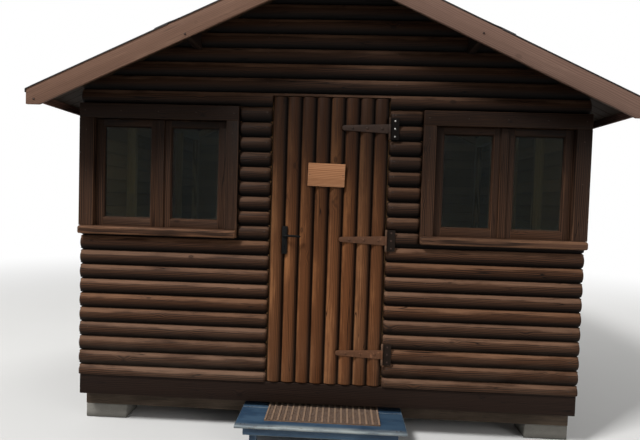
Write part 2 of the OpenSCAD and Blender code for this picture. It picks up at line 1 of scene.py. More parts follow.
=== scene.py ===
import json
import logging
import math
import zlib
from abc import ABC, abstractmethod
from collections.abc import Callable, Iterable
from dataclasses import dataclass, replace
from enum import Enum
from functools import cache, cached_property

import bmesh
import bpy
import numpy as np
from mathutils import Matrix, Vector

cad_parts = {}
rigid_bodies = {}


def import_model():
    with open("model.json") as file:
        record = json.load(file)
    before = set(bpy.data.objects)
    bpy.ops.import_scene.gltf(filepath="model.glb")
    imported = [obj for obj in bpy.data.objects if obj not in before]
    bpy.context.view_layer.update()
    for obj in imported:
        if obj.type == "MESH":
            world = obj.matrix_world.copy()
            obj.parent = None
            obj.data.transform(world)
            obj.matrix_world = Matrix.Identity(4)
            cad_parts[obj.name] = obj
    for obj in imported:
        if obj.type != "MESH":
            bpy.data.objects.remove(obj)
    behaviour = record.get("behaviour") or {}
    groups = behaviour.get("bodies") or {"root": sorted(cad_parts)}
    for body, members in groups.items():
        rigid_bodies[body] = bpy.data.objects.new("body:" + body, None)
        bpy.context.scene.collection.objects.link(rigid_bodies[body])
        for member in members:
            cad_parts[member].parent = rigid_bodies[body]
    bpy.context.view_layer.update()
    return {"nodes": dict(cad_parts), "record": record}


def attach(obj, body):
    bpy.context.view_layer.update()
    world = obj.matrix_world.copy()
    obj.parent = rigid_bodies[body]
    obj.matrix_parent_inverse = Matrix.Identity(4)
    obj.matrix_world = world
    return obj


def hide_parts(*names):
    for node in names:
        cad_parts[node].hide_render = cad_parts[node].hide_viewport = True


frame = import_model()
LOG = logging.getLogger("hut")

Colour = tuple[float, float, float]
Point = tuple[float, float, float]
Flat = tuple[float, float]
Spot = tuple[Point, Point]
Mesh = bpy.types.Mesh
Node = bpy.types.Node
Object = bpy.types.Object
Socket = bpy.types.NodeSocket
Value = float | Socket

UP: Point = (0.0, 0.0, 1.0)
TO_FRONT: Point = (0.0, -1.0, 0.0)
TO_BACK: Point = (0.0, 1.0, 0.0)

BODY_OF = {node: body for body, nodes in frame["record"]["behaviour"]["bodies"].items() for node in nodes}


def screen(red: int, green: int, blue: int) -> Colour:
    """Turn an 8-bit screen colour into the linear colour that shaders use.

    Args:
        red: Red from 0 to 255.
        green: Green from 0 to 255.
        blue: Blue from 0 to 255.

    Returns:
        The linear red, green and blue.
    """
    parts = [part / 255 for part in (red, green, blue)]
    linear = [part / 12.92 if part <= 0.04045 else ((part + 0.055) / 1.055) ** 2.4 for part in parts]
    return (linear[0], linear[1], linear[2])


def shade(colour: Colour, share: float) -> Colour:
    """Make a colour darker or lighter by a share of its own."""
    return (min(1.0, colour[0] * share), min(1.0, colour[1] * share), min(1.0, colour[2] * share))


class Axis(Enum):
    """The axis of the hut along which boards are counted."""

    X = 0
    Z = 2


# Node trees


class Graph:
    """A short way to write a node tree: each call adds one node and wires or sets its inputs."""

    def __init__(self, tree: bpy.types.NodeTree) -> None:
        """Keep the tree that the calls add to."""
        self.tree = tree

    @cached_property
    def place(self) -> Socket:
        """Object coordinates in metres."""
        return self.add("ShaderNodeTexCoord").outputs["Object"]

    def plug(self, socket: Socket, value: object) -> None:
        """Wire a socket where the value is a socket, and set it otherwise.

        Args:
            socket: The input to fill.
            value: An output socket, or a plain value of the input's own type.
        """
        if isinstance(value, bpy.types.NodeSocket):
            self.tree.links.new(value, socket)
        elif isinstance(value, tuple) and len(value) == 3 and socket.type == "RGBA":
            socket.default_value = (*value, 1.0)
        else:
            socket.default_value = value

    def add(self, kind: str, inputs: dict[str | int, object] | None = None, **settings: object) -> Node:
        """Add a node.

        Args:
            kind: The node's type name.
            inputs: Values or sockets for its inputs, by name or place.
            settings: Values of the node's own properties.

        Returns:
            The new node.
        """
        node = self.tree.nodes.new(kind)
        for key, value in settings.items():
            setattr(node, key, value)
        for key, value in (inputs or {}).items():
            self.plug(node.inputs[key], value)
        return node

    def out(self, kind: str, inputs: dict[str | int, object] | None = None, **settings: object) -> Socket:
        """Add a node and return its first output."""
        return self.add(kind, inputs, **settings).outputs[0]

    def math(self, operation: str, *values: Value) -> Socket:
        """Add a math node and return its result."""
        return self.out("ShaderNodeMath", dict(enumerate(values)), operation=operation)

    def plus(self, one: Value, two: Value) -> Socket:
        """Add two values."""
        return self.math("ADD", one, two)

    def minus(self, one: Value, two: Value) -> Socket:
        """Take the second value from the first."""
        return self.math("SUBTRACT", one, two)

    def times(self, one: Value, two: Value) -> Socket:
        """Multiply two values."""
        return self.math("MULTIPLY", one, two)

    def vector(self, operation: str, *values: object) -> Socket:
        """Add a vector math node and return its vector."""
        return self.out("ShaderNodeVectorMath", dict(enumerate(values)), operation=operation)

    def scaled(self, vector: Socket, share: Value) -> Socket:
        """Scale a vector by a number and return it."""
        return self.out("ShaderNodeVectorMath", {0: vector, "Scale": share}, operation="SCALE")

    def combine(self, x: Value, y: Value, z: Value) -> Socket:
        """Join three numbers into a vector."""
        return self.out("ShaderNodeCombineXYZ", {0: x, 1: y, 2: z})

    def split(self, vector: Socket) -> list[Socket]:
        """Part a vector into its three numbers."""
        return list(self.add("ShaderNodeSeparateXYZ", {0: vector}).outputs)

    def ease(self, value: Value, low: Value, high: Value, start: Value = 0.0, end: Value = 1.0) -> Socket:
        """Map a value smoothly from the range low to high to the range start to end, and hold it past both."""
        inputs = {0: value, 1: low, 2: high, 3: start, 4: end}
        return self.out("ShaderNodeMapRange", inputs, interpolation_type="SMOOTHSTEP")

    def chance(self, low: Point | float, high: Point | float, seed: Value) -> Socket:
        """Draw a vector or a number at random.

        Args:
            low: Lower limit.
            high: Upper limit.
            seed: Seed of the draw.

        Returns:
            The drawn value.
        """
        kind = "FunctionNodeRandomValue"
        if isinstance(low, tuple):
            return self.out(kind, {0: low, 1: high, "Seed": seed}, data_type="FLOAT_VECTOR")
        return self.add(kind, {2: low, 3: high, "Seed": seed}, data_type="FLOAT").outputs[1]

    def mark(self, name: str, output: str = "Fac") -> Socket:
        """Read an attribute of the mesh."""
        return self.add("ShaderNodeAttribute", attribute_name=name).outputs[output]

    def noise(self, place: Socket, stretch: Point | float, detail: float = 2.0, rough: float = 0.5) -> Socket:
        """Add a noise texture.

        Args:
            place: Where to read it.
            stretch: Waves per metre, along each axis or along all three.
            detail: How many finer octaves it has.
            rough: How strong they are.

        Returns:
            Its value from 0 to 1.
        """
        waves = stretch if isinstance(stretch, tuple) else (stretch,) * 3
        inputs = {"Vector": self.vector("MULTIPLY", place, waves), "Scale": 1.0, "Detail": detail, "Roughness": rough}
        return self.out("ShaderNodeTexNoise", inputs, noise_dimensions="3D")

    def blend(self, share: Value, first: object, second: object) -> Socket:
        """Mix two colours.

        Args:
            share: How much of the second shows, from 0 to 1.
            first: The first colour.
            second: The second colour.

        Returns:
            The mixed colour.
        """
        node = self.add("ShaderNodeMix", data_type="RGBA", clamp_factor=True)
        self.plug(node.inputs[0], share)
        self.plug(node.inputs[6], first)
        self.plug(node.inputs[7], second)
        return node.outputs[2]

    def bump(self, height: Socket, strength: float, depth: float, under: Socket | None = None) -> Socket:
        """Tilt a surface by a height field.

        Args:
            height: The field, from about 0 to 1.
            strength: How strongly it tilts, from 0 to 1.
            depth: How many metres its 1 stands for.
            under: A tilt that this one comes on top of, if any.

        Returns:
            The tilted normal.
        """
        inputs = {"Height": height, "Strength": strength, "Distance": depth}
        if under is not None:
            inputs["Normal"] = under
        return self.out("ShaderNodeBump", inputs)

    def surface(self, colour: object, rough: Value, normal: Socket | None = None, shine: float = 0.07,
                metal: float = 0.0) -> Node:
        """Add the shader of an opaque surface.

        Args:
            colour: Its colour.
            rough: Its roughness.
            normal: Its tilted normal, if any.
            shine: How strongly it mirrors, where 0.5 is polished.
            metal: Share of bare metal.

        Returns:
            The shader node.
        """
        node = self.add("ShaderNodeBsdfPrincipled", {"Base Color": colour, "Roughness": rough, "Metallic": metal})
        node.inputs["Specular IOR Level"].default_value = shine
        if normal is not None:
            self.plug(node.inputs["Normal"], normal)
        return node


# Finishes


@dataclass(frozen=True)
class Finish(ABC):
    """The finish of a surface.

    Attributes:
        name: Name of its Blender material.
    """

    name: str

    @cache
    def material(self) -> bpy.types.Material:
        """Return the Blender material of this finish, made on first use."""
        made = bpy.data.materials.new(self.name)
        made.use_nodes = True
        made.node_tree.nodes.clear()
        g = Graph(made.node_tree)
        g.add("ShaderNodeOutputMaterial", {"Surface": self.shader(g).outputs[0]})
        return made

    @abstractmethod
    def shader(self, g: Graph) -> Node:
        """Build the shader.

        Args:
            g: The tree to build in.

        Returns:
            The shader node that goes to the material's output.
        """

    def dress(self, piece: Object) -> None:
        """Give this finish to one object, in place of any it has."""
        piece.data.materials.clear()
        piece.data.materials.append(self.material())


@dataclass(frozen=True)
class Cover:
    """How half-round boards repeat across a surface.

    Attributes:
        axis: The axis that the boards are counted along.
        pitch: What one board covers.
        start: Place of one joint.
    """

    axis: Axis
    pitch: float
    start: float


@dataclass(frozen=True)
class Wood(Finish):
    """Wood with grain, knots and drying checks, stained or bare, with painted light and shade on half-round boards
    and painted shade towards the top. Each board has its own tone and grain.

    Attributes:
        dark: Colour of the late wood and of fresh stain.
        middle: Main colour.
        pale: Colour where the finish has faded.
        fade: How much of the surface has faded.
        cover: How half-round boards repeat, if they do.
        painted_top_shade: Tone of the wood at the top of the hut, which is painted darker towards the top as painted
            shade.
        splash: How much dust has settled near the ground.
        bare: Colour of the side that faces the room, where it isn't stained.
        rub: How much the edges are rubbed.
        knots: How strongly knots show.
        checks: How strongly drying checks show.
        vary: Difference of tone between two boards.
        gloss: Roughness of the surface.
        relief: Depth of the grain.
    """

    dark: Colour
    middle: Colour
    pale: Colour
    fade: float = 0.5
    cover: Cover | None = None
    painted_top_shade: float = 1.0
    splash: float = 0.0
    bare: Colour | None = None
    rub: float = 0.5
    knots: float = 1.0
    checks: float = 1.0
    vary: float = 0.3
    gloss: float = 0.6
    relief: float = 0.0010

    def shader(self, g: Graph) -> Node:
        """Build the wood shader.

        Args:
            g: The tree to build in.

        Returns:
            The shader node.
        """
        spot = g.mark("grain", "Vector")
        tone = g.mark("tone")
        knot, halo = self.knot(g, spot)
        fibre = g.noise(spot, (7.0, 420.0, 420.0), 2.0, 0.6)
        streak = g.noise(spot, (2.2, 120.0, 120.0), 3.0, 0.6)
        broad = g.noise(spot, (0.9, 34.0, 34.0), 2.0)
        patch = g.noise(spot, (2.4, 9.0, 9.0), 4.0, 0.62)
        rings = self.rings(g, spot, halo)
        check = self.check(g, spot)

        lines = g.plus(g.times(rings, 0.34), g.times(streak, 0.40))
        lines = g.plus(lines, g.times(broad, 0.26))
        colour = g.blend(g.ease(lines, 0.30, 0.66), self.dark, self.middle)
        worn = g.plus(g.times(patch, 0.62), g.times(streak, 0.38))
        if self.cover:
            # Painted light across the boards: a painted highlight adds to the fading here, and painted shade goes
            # into the tone below.
            painted_light, joint_and_painted_shade, joint = self.painted_light(g)
            worn = g.plus(worn, painted_light)
        edge = 0.70 - 0.36 * self.fade
        worn = g.ease(worn, edge, edge + 0.22, 0.0, 0.9)
        colour = g.blend(g.times(worn, g.ease(fibre, 0.2, 0.62, 0.45, 1.0)), colour, self.pale)
        colour = g.blend(g.times(knot, 0.85), colour, shade(self.dark, 0.5))
        colour = g.blend(check, colour, shade(self.dark, 0.22))

        edge_face = g.mark("edge")
        rubbed = g.times(edge_face, g.ease(g.plus(patch, fibre), 0.82, 1.18, 0.0, self.rub))
        colour = g.blend(rubbed, colour, shade(self.pale, 1.25))
        hue = g.blend(g.math("FRACT", g.times(tone, 7.0)), (1.07, 1.0, 0.90), (0.95, 1.0, 1.05))
        colour = g.vector("MULTIPLY", colour, hue)
        level = g.math("MULTIPLY_ADD", tone, self.vary, 1.0 - self.vary / 2)
        level = g.times(level, g.ease(fibre, 0.2, 0.8, 0.93, 1.07))
        inside = level
        # Painted shade on one side of each half-round board, with its dark joints.
        if self.cover:
            level = g.times(level, joint_and_painted_shade)
        height = g.split(g.place)[2]
        # Painted shade: the wood is painted darker towards the top of the hut.
        if self.painted_top_shade < 1.0:
            level = g.times(level, g.ease(height, 0.95, 2.2, 1.0, self.painted_top_shade))
        colour = g.scaled(colour, level)
        if self.splash:
            dust = g.times(g.ease(height, 0.35, 0.95, self.splash, 0.0), g.ease(patch, 0.3, 0.7))
            colour = g.blend(dust, colour, screen(128, 112, 98))
        if self.bare:
            plain_wood = g.blend(lines, shade(self.bare, 0.62), self.bare)
            plain_wood = g.blend(check, plain_wood, shade(self.bare, 0.2))
            plain_wood = g.scaled(plain_wood, g.times(inside, g.ease(joint, 0.955, 0.985, 1.0, 0.2)))
            colour = g.blend(self.indoors(g), colour, plain_wood)

        depth = g.plus(g.times(lines, 0.7), g.times(fibre, 0.25))
        depth = g.minus(g.math("MULTIPLY_ADD", knot, 0.35, depth), g.times(check, 1.8))
        rough = g.plus(g.times(worn, 0.18), g.math("MULTIPLY_ADD", streak, 0.2, self.gloss - 0.1))
        return g.surface(colour, rough, g.bump(depth, 0.9, self.relief))

    def painted_light(self, g: Graph) -> tuple[Socket, Socket, Socket]:
        """Paint light and shade across a half-round board.

        A lying board is painted lighter on its upper side as a painted highlight and darker on its lower half as
        painted shade; an upright board is painted lighter on its left side and darker on its right side. Both have
        dark joints.

        Args:
            g: The tree to build in.

        Returns:
            A painted highlight that adds to the fading, the tone of the surface with its painted shade and dark
            joints, and how near it lies to a joint.
        """
        cover = self.cover
        count = g.math("DIVIDE", g.minus(g.split(g.place)[cover.axis.value], cover.start), cover.pitch)
        across = g.times(g.minus(g.math("FRACT", count), 0.5), 2.0)
        joint = g.math("ABSOLUTE", across)
        if cover.axis is Axis.Z:
            # A lying board: a dark joint at its top edge, painted shade on its lower half and a painted highlight on
            # its upper side.
            joint_and_painted_shade = g.times(g.ease(across, 0.92, 0.995, 1.0, 0.12), g.ease(across, -0.80, 0.22, 0.05, 1.0))
            return g.ease(across, -0.20, 0.85, -0.20, 0.22), joint_and_painted_shade, joint
        # An upright board: a painted highlight on its left side, painted shade on its right side and dark joints at
        # both edges.
        joint_and_painted_shade = g.times(g.ease(across, 0.35, 0.93, 1.0, 0.10), g.ease(across, -0.97, -0.74, 0.10, 1.0))
        return g.math("MULTIPLY_ADD", across, -0.14, 0.02), joint_and_painted_shade, joint

    def indoors(self, g: Graph) -> Socket:
        """Tell the faces that lie inside the cladding, as 1 indoors and 0 outside."""
        x, y, _ = (g.math("ABSOLUTE", part) for part in g.split(g.place))
        return g.times(g.math("LESS_THAN", x, HUT.half - HUT.cladding + 0.003),
                       g.math("LESS_THAN", y, HUT.depth - HUT.cladding + 0.003))

    def knot(self, g: Graph, spot: Socket) -> tuple[Socket, Socket]:
        """Scatter knots, drawn out along the grain.

        Args:
            g: The tree to build in.
            spot: Place along the grain.

        Returns:
            The knots, and the zone round them where the grain bends.
        """
        drawn = g.vector("MULTIPLY", spot, (3.4, 5.4, 5.4))
        reach = g.add("ShaderNodeTexVoronoi", {"Vector": drawn, "Scale": 1.0}).outputs["Distance"]
        ripple = g.math("MULTIPLY_ADD", g.math("SINE", g.times(reach, 260.0)), 0.25, 0.75)
        knot = g.times(g.ease(reach, 0.055, 0.095, self.knots, 0.0), ripple)
        return knot, g.ease(reach, 0.03, 0.26, self.knots, 0.0)

    def rings(self, g: Graph, spot: Socket, halo: Socket) -> Socket:
        """Draw the growth rings, which run long and narrow and bend round the knots.

        Args:
            g: The tree to build in.
            spot: Place along the grain.
            halo: The zone round the knots.

        Returns:
            The rings, from 0 to 1.
        """
        warp = g.noise(spot, (0.9, 7.0, 7.0), 2.0)
        bent = g.plus(g.times(warp, 0.06), g.times(halo, 0.018))
        flat = g.vector("ADD", g.vector("MULTIPLY", spot, (0.04, 1.0, 0.55)), g.combine(0.0, bent, 0.0))
        inputs = {"Vector": flat, "Scale": 30.0, "Distortion": 2.0, "Detail": 2.0, "Detail Scale": 0.7}
        return g.add("ShaderNodeTexWave", inputs, wave_type="BANDS", bands_direction="Y").outputs["Fac"]

    def check(self, g: Graph, spot: Socket) -> Socket:
        """Draw drying checks, which are thin dark cracks along the grain.

        Args:
            g: The tree to build in.
            spot: Place along the grain.

        Returns:
            The checks, from 0 to 1.
        """
        field = g.noise(spot, (1.0, 26.0, 26.0), 1.0)
        line = g.math("ABSOLUTE", g.minus(field, 0.5))
        where = g.ease(g.noise(spot, (1.7, 8.0, 8.0), 1.0), 0.52, 0.60)
        return g.times(g.ease(line, 0.0, 0.011, self.checks, 0.0), where)


@dataclass(frozen=True)
class Iron(Finish):
    """Iron under lacquer or stain, rubbed and pitted in places.

    Attributes:
        coat: Colour of the coat.
        bare: Colour where it is rubbed through.
        rubbed: How much of it is rubbed through.
        gloss: Roughness of the coat.
        metal: Share of bare metal in the shine.
        painted_top_shade: Tone of the coat at the top of the hut, which is painted darker towards the top as painted
            shade.
        shine: How strongly it mirrors.
        pin: Place across of a hinge pin, along which a pale strip is painted as a highlight, if there is one.
    """

    coat: Colour
    bare: Colour
    rubbed: float = 0.2
    gloss: float = 0.45
    metal: float = 0.0
    painted_top_shade: float = 1.0
    shine: float = 0.2
    pin: float | None = None

    def shader(self, g: Graph) -> Node:
        """Build the iron shader.

        Args:
            g: The tree to build in.

        Returns:
            The shader node.
        """
        fine = g.noise(g.place, 260.0, 3.0, 0.6)
        broad = g.noise(g.place, 26.0, 4.0, 0.65)
        edge = 0.72 - 0.36 * self.rubbed
        wear = g.plus(g.times(fine, 0.35), g.times(broad, 0.65))
        colour = g.blend(broad, shade(self.coat, 0.65), shade(self.coat, 1.15))
        edge_face = g.mark("edge")
        wear = g.math("MULTIPLY_ADD", edge_face, 0.16, wear)
        colour = g.blend(g.ease(wear, edge, edge + 0.1), colour, self.bare)
        # Painted highlight: a pale strip along the hinge pin.
        if self.pin is not None:
            aside = g.math("ABSOLUTE", g.minus(g.split(g.place)[0], self.pin))
            pin_highlight = g.times(g.ease(aside, 0.006, 0.009, 0.95, 0.0), broad)
            colour = g.blend(pin_highlight, colour, shade(self.bare, 2.6))
        # Painted shade: the coat is painted darker towards the top of the hut.
        if self.painted_top_shade < 1.0:
            colour = g.scaled(colour, g.ease(g.split(g.place)[2], 0.95, 2.1, 1.0, self.painted_top_shade))
        rough = g.math("MULTIPLY_ADD", fine, 0.25, self.gloss - 0.1)
        return g.surface(colour, rough, g.bump(g.plus(fine, broad), 0.6, 0.0006), self.shine, self.metal)


@dataclass(frozen=True)
class Concrete(Finish):
    """Rough concrete with grit, pores and a damp foot.

    Attributes:
        colour: Main colour.
    """

    colour: Colour

    def shader(self, g: Graph) -> Node:
        """Build the concrete shader.

        Args:
            g: The tree to build in.

        Returns:
            The shader node.
        """
        broad = g.noise(g.place, 9.0, 5.0, 0.6)
        grit = g.noise(g.place, 240.0, 3.0, 0.7)
        pores = g.add("ShaderNodeTexVoronoi", {"Vector": g.place, "Scale": 90.0}).outputs["Distance"]
        hole = g.ease(pores, 0.06, 0.2, 1.0, 0.0)
        colour = g.blend(broad, shade(self.colour, 0.6), shade(self.colour, 1.2))
        colour = g.blend(g.times(grit, 0.4), colour, shade(self.colour, 0.45))
        colour = g.blend(hole, colour, shade(self.colour, 0.3))
        damp = g.ease(g.math("MULTIPLY_ADD", broad, -0.04, g.split(g.place)[2]), -0.02, 0.03, 0.55, 1.0)
        colour = g.scaled(colour, damp)
        height = g.minus(g.plus(grit, broad), g.times(hole, 1.5))
        return g.surface(colour, 0.9, g.bump(height, 0.9, 0.002))


@dataclass(frozen=True)
class Felt(Finish):
    """Bitumen felt under mineral granules.

    Attributes:
        dark: Colour between the granules.
        pale: Colour of the palest granules.
        laps: Distances from the middle at which a sheet ends on the one below, where bitumen has run out.
    """

    dark: Colour
    pale: Colour
    laps: tuple[float, ...]

    def shader(self, g: Graph) -> Node:
        """Build the felt shader.

        Args:
            g: The tree to build in.

        Returns:
            The shader node.
        """
        grains = g.add("ShaderNodeTexVoronoi", {"Vector": g.place, "Scale": 520.0})
        chance = g.split(grains.outputs["Color"])[0]
        broad = g.noise(g.place, 3.5, 5.0, 0.62)
        runs = g.noise(g.place, (1.2, 26.0, 1.2), 3.0, 0.6)
        colour = g.blend(g.ease(chance, 0.25, 1.0), self.dark, self.pale)
        worn = g.ease(g.plus(broad, g.times(runs, 0.5)), 0.62, 0.95, 0.0, 0.55)
        colour = g.blend(worn, colour, self.dark)
        tone = g.mark("tone")
        colour = g.scaled(colour, g.math("MULTIPLY_ADD", tone, 0.3, 0.85))
        run = g.noise(g.place, (4.0, 30.0, 4.0), 3.0)
        for lap in self.laps:
            below = g.minus(g.math("ABSOLUTE", g.split(g.place)[0]), lap)
            bleed = g.ease(g.math("MULTIPLY_ADD", run, -0.030, below), -0.012, 0.004, 0.85, 0.0)
            bleed = g.times(bleed, g.math("GREATER_THAN", below, -0.001))
            colour = g.blend(bleed, colour, shade(self.dark, 0.25))
        gritty = g.bump(grains.outputs["Distance"], 0.6, 0.0012)
        return g.surface(colour, 0.92, g.bump(broad, 0.5, 0.008, gritty), 0.3)


@dataclass(frozen=True)
class Glass(Finish):
    """Window glass with a faint wave and a little dust.

    Attributes:
        tint: Colour of the glass.
        grime: Colour of the dirt along its edges.
        middle: Distance from the middle of the hut to the middle of a window.
        apart: Half the distance between the middles of its panes.
        half: Half the width and the height of a pane.
        height: Height of its middle.
    """

    tint: Colour
    grime: Colour
    middle: float
    apart: float
    half: Flat
    height: float

    def shader(self, g: Graph) -> Node:
        """Build the glass shader.

        Args:
            g: The tree to build in.

        Returns:
            The shader node.
        """
        smear = g.noise(g.place, 22.0, 5.0, 0.65)
        x, _, z = g.split(g.place)
        for distance in (self.middle, self.apart):
            x = g.minus(g.math("ABSOLUTE", x), distance)
        reach = g.math("DIVIDE", g.math("ABSOLUTE", x), self.half[0])
        rise = g.math("DIVIDE", g.minus(self.height, z), self.half[1])
        rise = g.math("MAXIMUM", rise, g.times(rise, -0.96))
        corner = g.plus(g.math("POWER", reach, 7.0), g.math("POWER", rise, 12.0))
        corner = g.math("POWER", corner, 0.5)
        grime = g.times(g.ease(corner, 0.5, 1.3, 0.0, 0.8), g.ease(smear, 0.3, 0.7, 0.4, 1.0))
        grime = g.math("MAXIMUM", grime, g.ease(smear, 0.35, 0.9, 0.0, 0.12))
        inputs = {"Base Color": g.blend(grime, self.tint, self.grime), "Roughness": g.times(grime, 0.05),
                  "Transmission Weight": g.math("MULTIPLY_ADD", grime, -0.05, 1.0),
                  "Normal": g.bump(g.noise(g.place, 3.0, 1.0), 0.2, 0.002)}
        shader = g.add("ShaderNodeBsdfPrincipled", inputs)
        shader.inputs["IOR"].default_value = 1.15
        return shader


@dataclass(frozen=True)
class Paint(Finish):
    """Paint on boards, rubbed through to the wood along the grain.

    Attributes:
        coat: Colour of the paint.
        faded: Colour of the chalky paint.
        worn: Colour of the paint where it is scuffed.
        wood: Colour of the wood under it.
        nose: Place of the front edge of the tread, which feet scuff.
        tread: Height of the underside of the tread.
        wear: How much of it is rubbed through.
    """

    coat: Colour
    faded: Colour
    worn: Colour
    wood: Colour
    nose: float
    tread: float
    wear: float = 0.3

    def shader(self, g: Graph) -> Node:
        """Build the paint shader.

        Args:
            g: The tree to build in.

        Returns:
            The shader node.
        """
        spot = g.mark("grain", "Vector")
        streaks = g.noise(spot, (5.0, 160.0, 160.0), 3.0, 0.6)
        brush = g.noise(spot, (9.0, 420.0, 420.0), 2.0)
        patches = g.noise(spot, (4.0, 12.0, 12.0), 5.0, 0.65)
        chips = g.noise(spot, (26.0, 90.0, 90.0), 4.0, 0.7)
        colour = g.blend(g.ease(patches, 0.36, 0.62), self.coat, self.faded)
        colour = g.blend(g.times(brush, 0.3), colour, shade(self.coat, 0.55))
        _, y, z = g.split(g.place)
        scuff = g.ease(y, self.nose + 0.004, self.nose + 0.055, 1.0, 0.0)
        scuff = g.times(scuff, g.math("GREATER_THAN", z, self.tread))
        edge_face = g.mark("edge")
        scuff = g.math("MAXIMUM", scuff, g.times(edge_face, 0.8))
        colour = g.blend(g.times(scuff, g.ease(patches, 0.34, 0.6, 0.35, 0.95)), colour, self.worn)
        through = g.plus(g.times(chips, 0.6), g.times(streaks, 0.4))
        through = g.math("MULTIPLY_ADD", scuff, 0.05, through)
        edge = 0.74 - 0.4 * self.wear
        bare = g.ease(through, edge, edge + 0.04)
        colour = g.blend(bare, colour, g.blend(streaks, shade(self.wood, 0.5), self.wood))
        height = g.minus(g.times(g.plus(streaks, brush), 0.4), bare)
        return g.surface(colour, g.ease(bare, 0.0, 1.0, 0.5, 0.85), g.bump(height, 0.8, 0.0007), 0.3)


@dataclass(frozen=True)
class Fibre(Finish):
    """Short brown fibre of a mat.

    Attributes:
        dark: Colour deep in the pile, which is partly painted shade.
        pale: Colour of the raised ribs and tips, which is partly a painted highlight.
        low: Height of the foot of the pile.
        high: Height of its tips.
    """

    dark: Colour
    pale: Colour
    low: float
    high: float

    def shader(self, g: Graph) -> Node:
        """Build the fibre shader.

        Args:
            g: The tree to build in.

        Returns:
            The shader node.
        """
        tufts = g.noise(g.place, (650.0, 650.0, 200.0), 3.0, 0.7)
        x, y, z = g.split(g.place)
        weft = g.math("SINE", g.math("MULTIPLY_ADD", y, math.tau / 0.017, g.times(x, 3.0)))
        weft = g.ease(weft, -0.4, 0.7, 0.0, 0.34)
        patches = g.noise(g.place, 22.0, 4.0, 0.6)
        # The pile is painted paler with height: partly the fibre's own paler tips, partly a painted highlight on the
        # raised ribs and painted shade at its foot.
        lift = g.ease(z, self.low, self.high)
        tip = g.plus(g.times(tufts, 0.5), g.times(patches, 0.5))
        tip = g.times(g.ease(tip, 0.3, 0.7, 0.55, 1.0), g.math("MAXIMUM", lift, weft))
        colour = g.blend(tip, self.dark, self.pale)
        height = g.math("MULTIPLY_ADD", weft, 0.8, tufts)
        shader = g.surface(colour, 0.95, g.bump(height, 1.0, 0.002))
        shader.inputs["Sheen Weight"].default_value = 0.15
        return shader


@dataclass(frozen=True)
class PaleFloor(Finish):
    """The plain pale floor of the studio.

    Attributes:
        colour: Its colour.
    """

    colour: Colour

    def shader(self, g: Graph) -> Node:
        """Build the floor shader.

        Args:
            g: The tree to build in.

        Returns:
            The shader node.
        """
        cloud = g.noise(g.place, 1.5, 3.0)
        matt = g.surface(g.blend(cloud, shade(self.colour, 0.985), shade(self.colour, 1.015)), 0.85)
        away = g.add("ShaderNodeVectorMath", {0: g.place}, operation="LENGTH").outputs["Value"]
        glow = g.add("ShaderNodeEmission", {"Color": (1.0, 1.0, 1.0), "Strength": 1.0})
        share = g.times(g.ease(away, 3.5, 11.0), seen_ray(g))
        return g.add("ShaderNodeMixShader", {0: share, 1: matt.outputs[0], 2: glow.outputs[0]})


def seen_ray(g: Graph) -> Socket:
    """Tell the rays that show a background, straight, mirrored or through glass, as 1 and all others as 0."""
    path = g.add("ShaderNodeLightPath").outputs
    mirrored = g.math("MAXIMUM", path["Is Glossy Ray"], path["Is Transmission Ray"])
    return g.math("MAXIMUM", path["Is Camera Ray"], mirrored)


# The finishes of the hut. A cover starts at the joint under the lowest board, in metres over the ground.
# The finishes are painted darker towards the top of the hut as painted shade, down to the last tone given; the
# gable's is milder because the roof's own shade already darkens it.
WALL_LOGS = Wood("oiled_logs_wall", screen(28, 18, 12), screen(66, 43, 29), screen(102, 75, 58),
                 cover=Cover(Axis.Z, 0.1015, 0.418), painted_top_shade=0.26, splash=0.08, bare=screen(124, 92, 64))
RIGHT_LOGS = replace(WALL_LOGS, name="oiled_logs_right", cover=Cover(Axis.Z, 0.100, 0.415))
PIER_LOGS = replace(WALL_LOGS, name="oiled_logs_pier", cover=Cover(Axis.Z, 0.10333, 1.315))
GABLE_LOGS = replace(WALL_LOGS, name="oiled_logs_gable", cover=Cover(Axis.Z, 0.100, 0.445), painted_top_shade=0.5)
DOOR_WOOD = Wood("oiled_door", screen(70, 42, 23), screen(92, 57, 34), screen(130, 87, 55),
                 cover=Cover(Axis.X, 0.09875, -0.395), painted_top_shade=0.19, splash=0.08)
TRIM_WOOD = Wood("oiled_trim", screen(40, 27, 20), screen(78, 54, 40), screen(116, 84, 62), fade=0.38, painted_top_shade=0.17)
# The base sill is painted nearly black as painted shade, as if in the shadow of the logs above it.
PAINTED_SHADE_SILL = Wood("sill_painted_shade", screen(22, 14, 10), screen(38, 26, 20), screen(58, 42, 33), fade=0.25, rub=0.3)
BARGE_WOOD = Wood("faded_barge", screen(86, 66, 57), screen(100, 78, 68), screen(112, 90, 79), checks=0.5, knots=0.5,
                  relief=0.0005, rub=0.35)
FASCIA_WOOD = Wood("faded_fascia", screen(54, 38, 33), screen(84, 61, 53), screen(112, 86, 76))
LEDGE_WOOD = Wood("oiled_ledges", screen(58, 38, 27), screen(98, 68, 48), screen(124, 92, 68), fade=0.3)
SIGN_WOOD = Wood("sanded_plate", screen(112, 74, 48), screen(142, 99, 70), screen(158, 116, 85), fade=0.4, knots=0.0,
                 checks=0.0, gloss=0.5, relief=0.0003, rub=0.3)
# The deck is painted dark as painted shade, as if in the shadow under the roof.
PAINTED_SHADE_DECK = Wood("rough_deck_painted_shade", screen(24, 17, 10), screen(44, 31, 21), screen(64, 47, 33), fade=0.3)
FLOOR_WOOD = Wood("worn_floor", screen(96, 70, 49), screen(136, 104, 76), screen(158, 130, 102), fade=0.5)
FRAME_WOOD = Wood("planed_frame", screen(112, 82, 55), screen(150, 115, 80), screen(166, 134, 100), fade=0.4)
# The purlins are painted nearly black as painted shade, as if in the shadow under the roof.
PAINTED_SHADE_PURLINS = Wood("purlins_painted_shade", screen(16, 11, 9), screen(28, 20, 16), screen(44, 33, 27), fade=0.3)
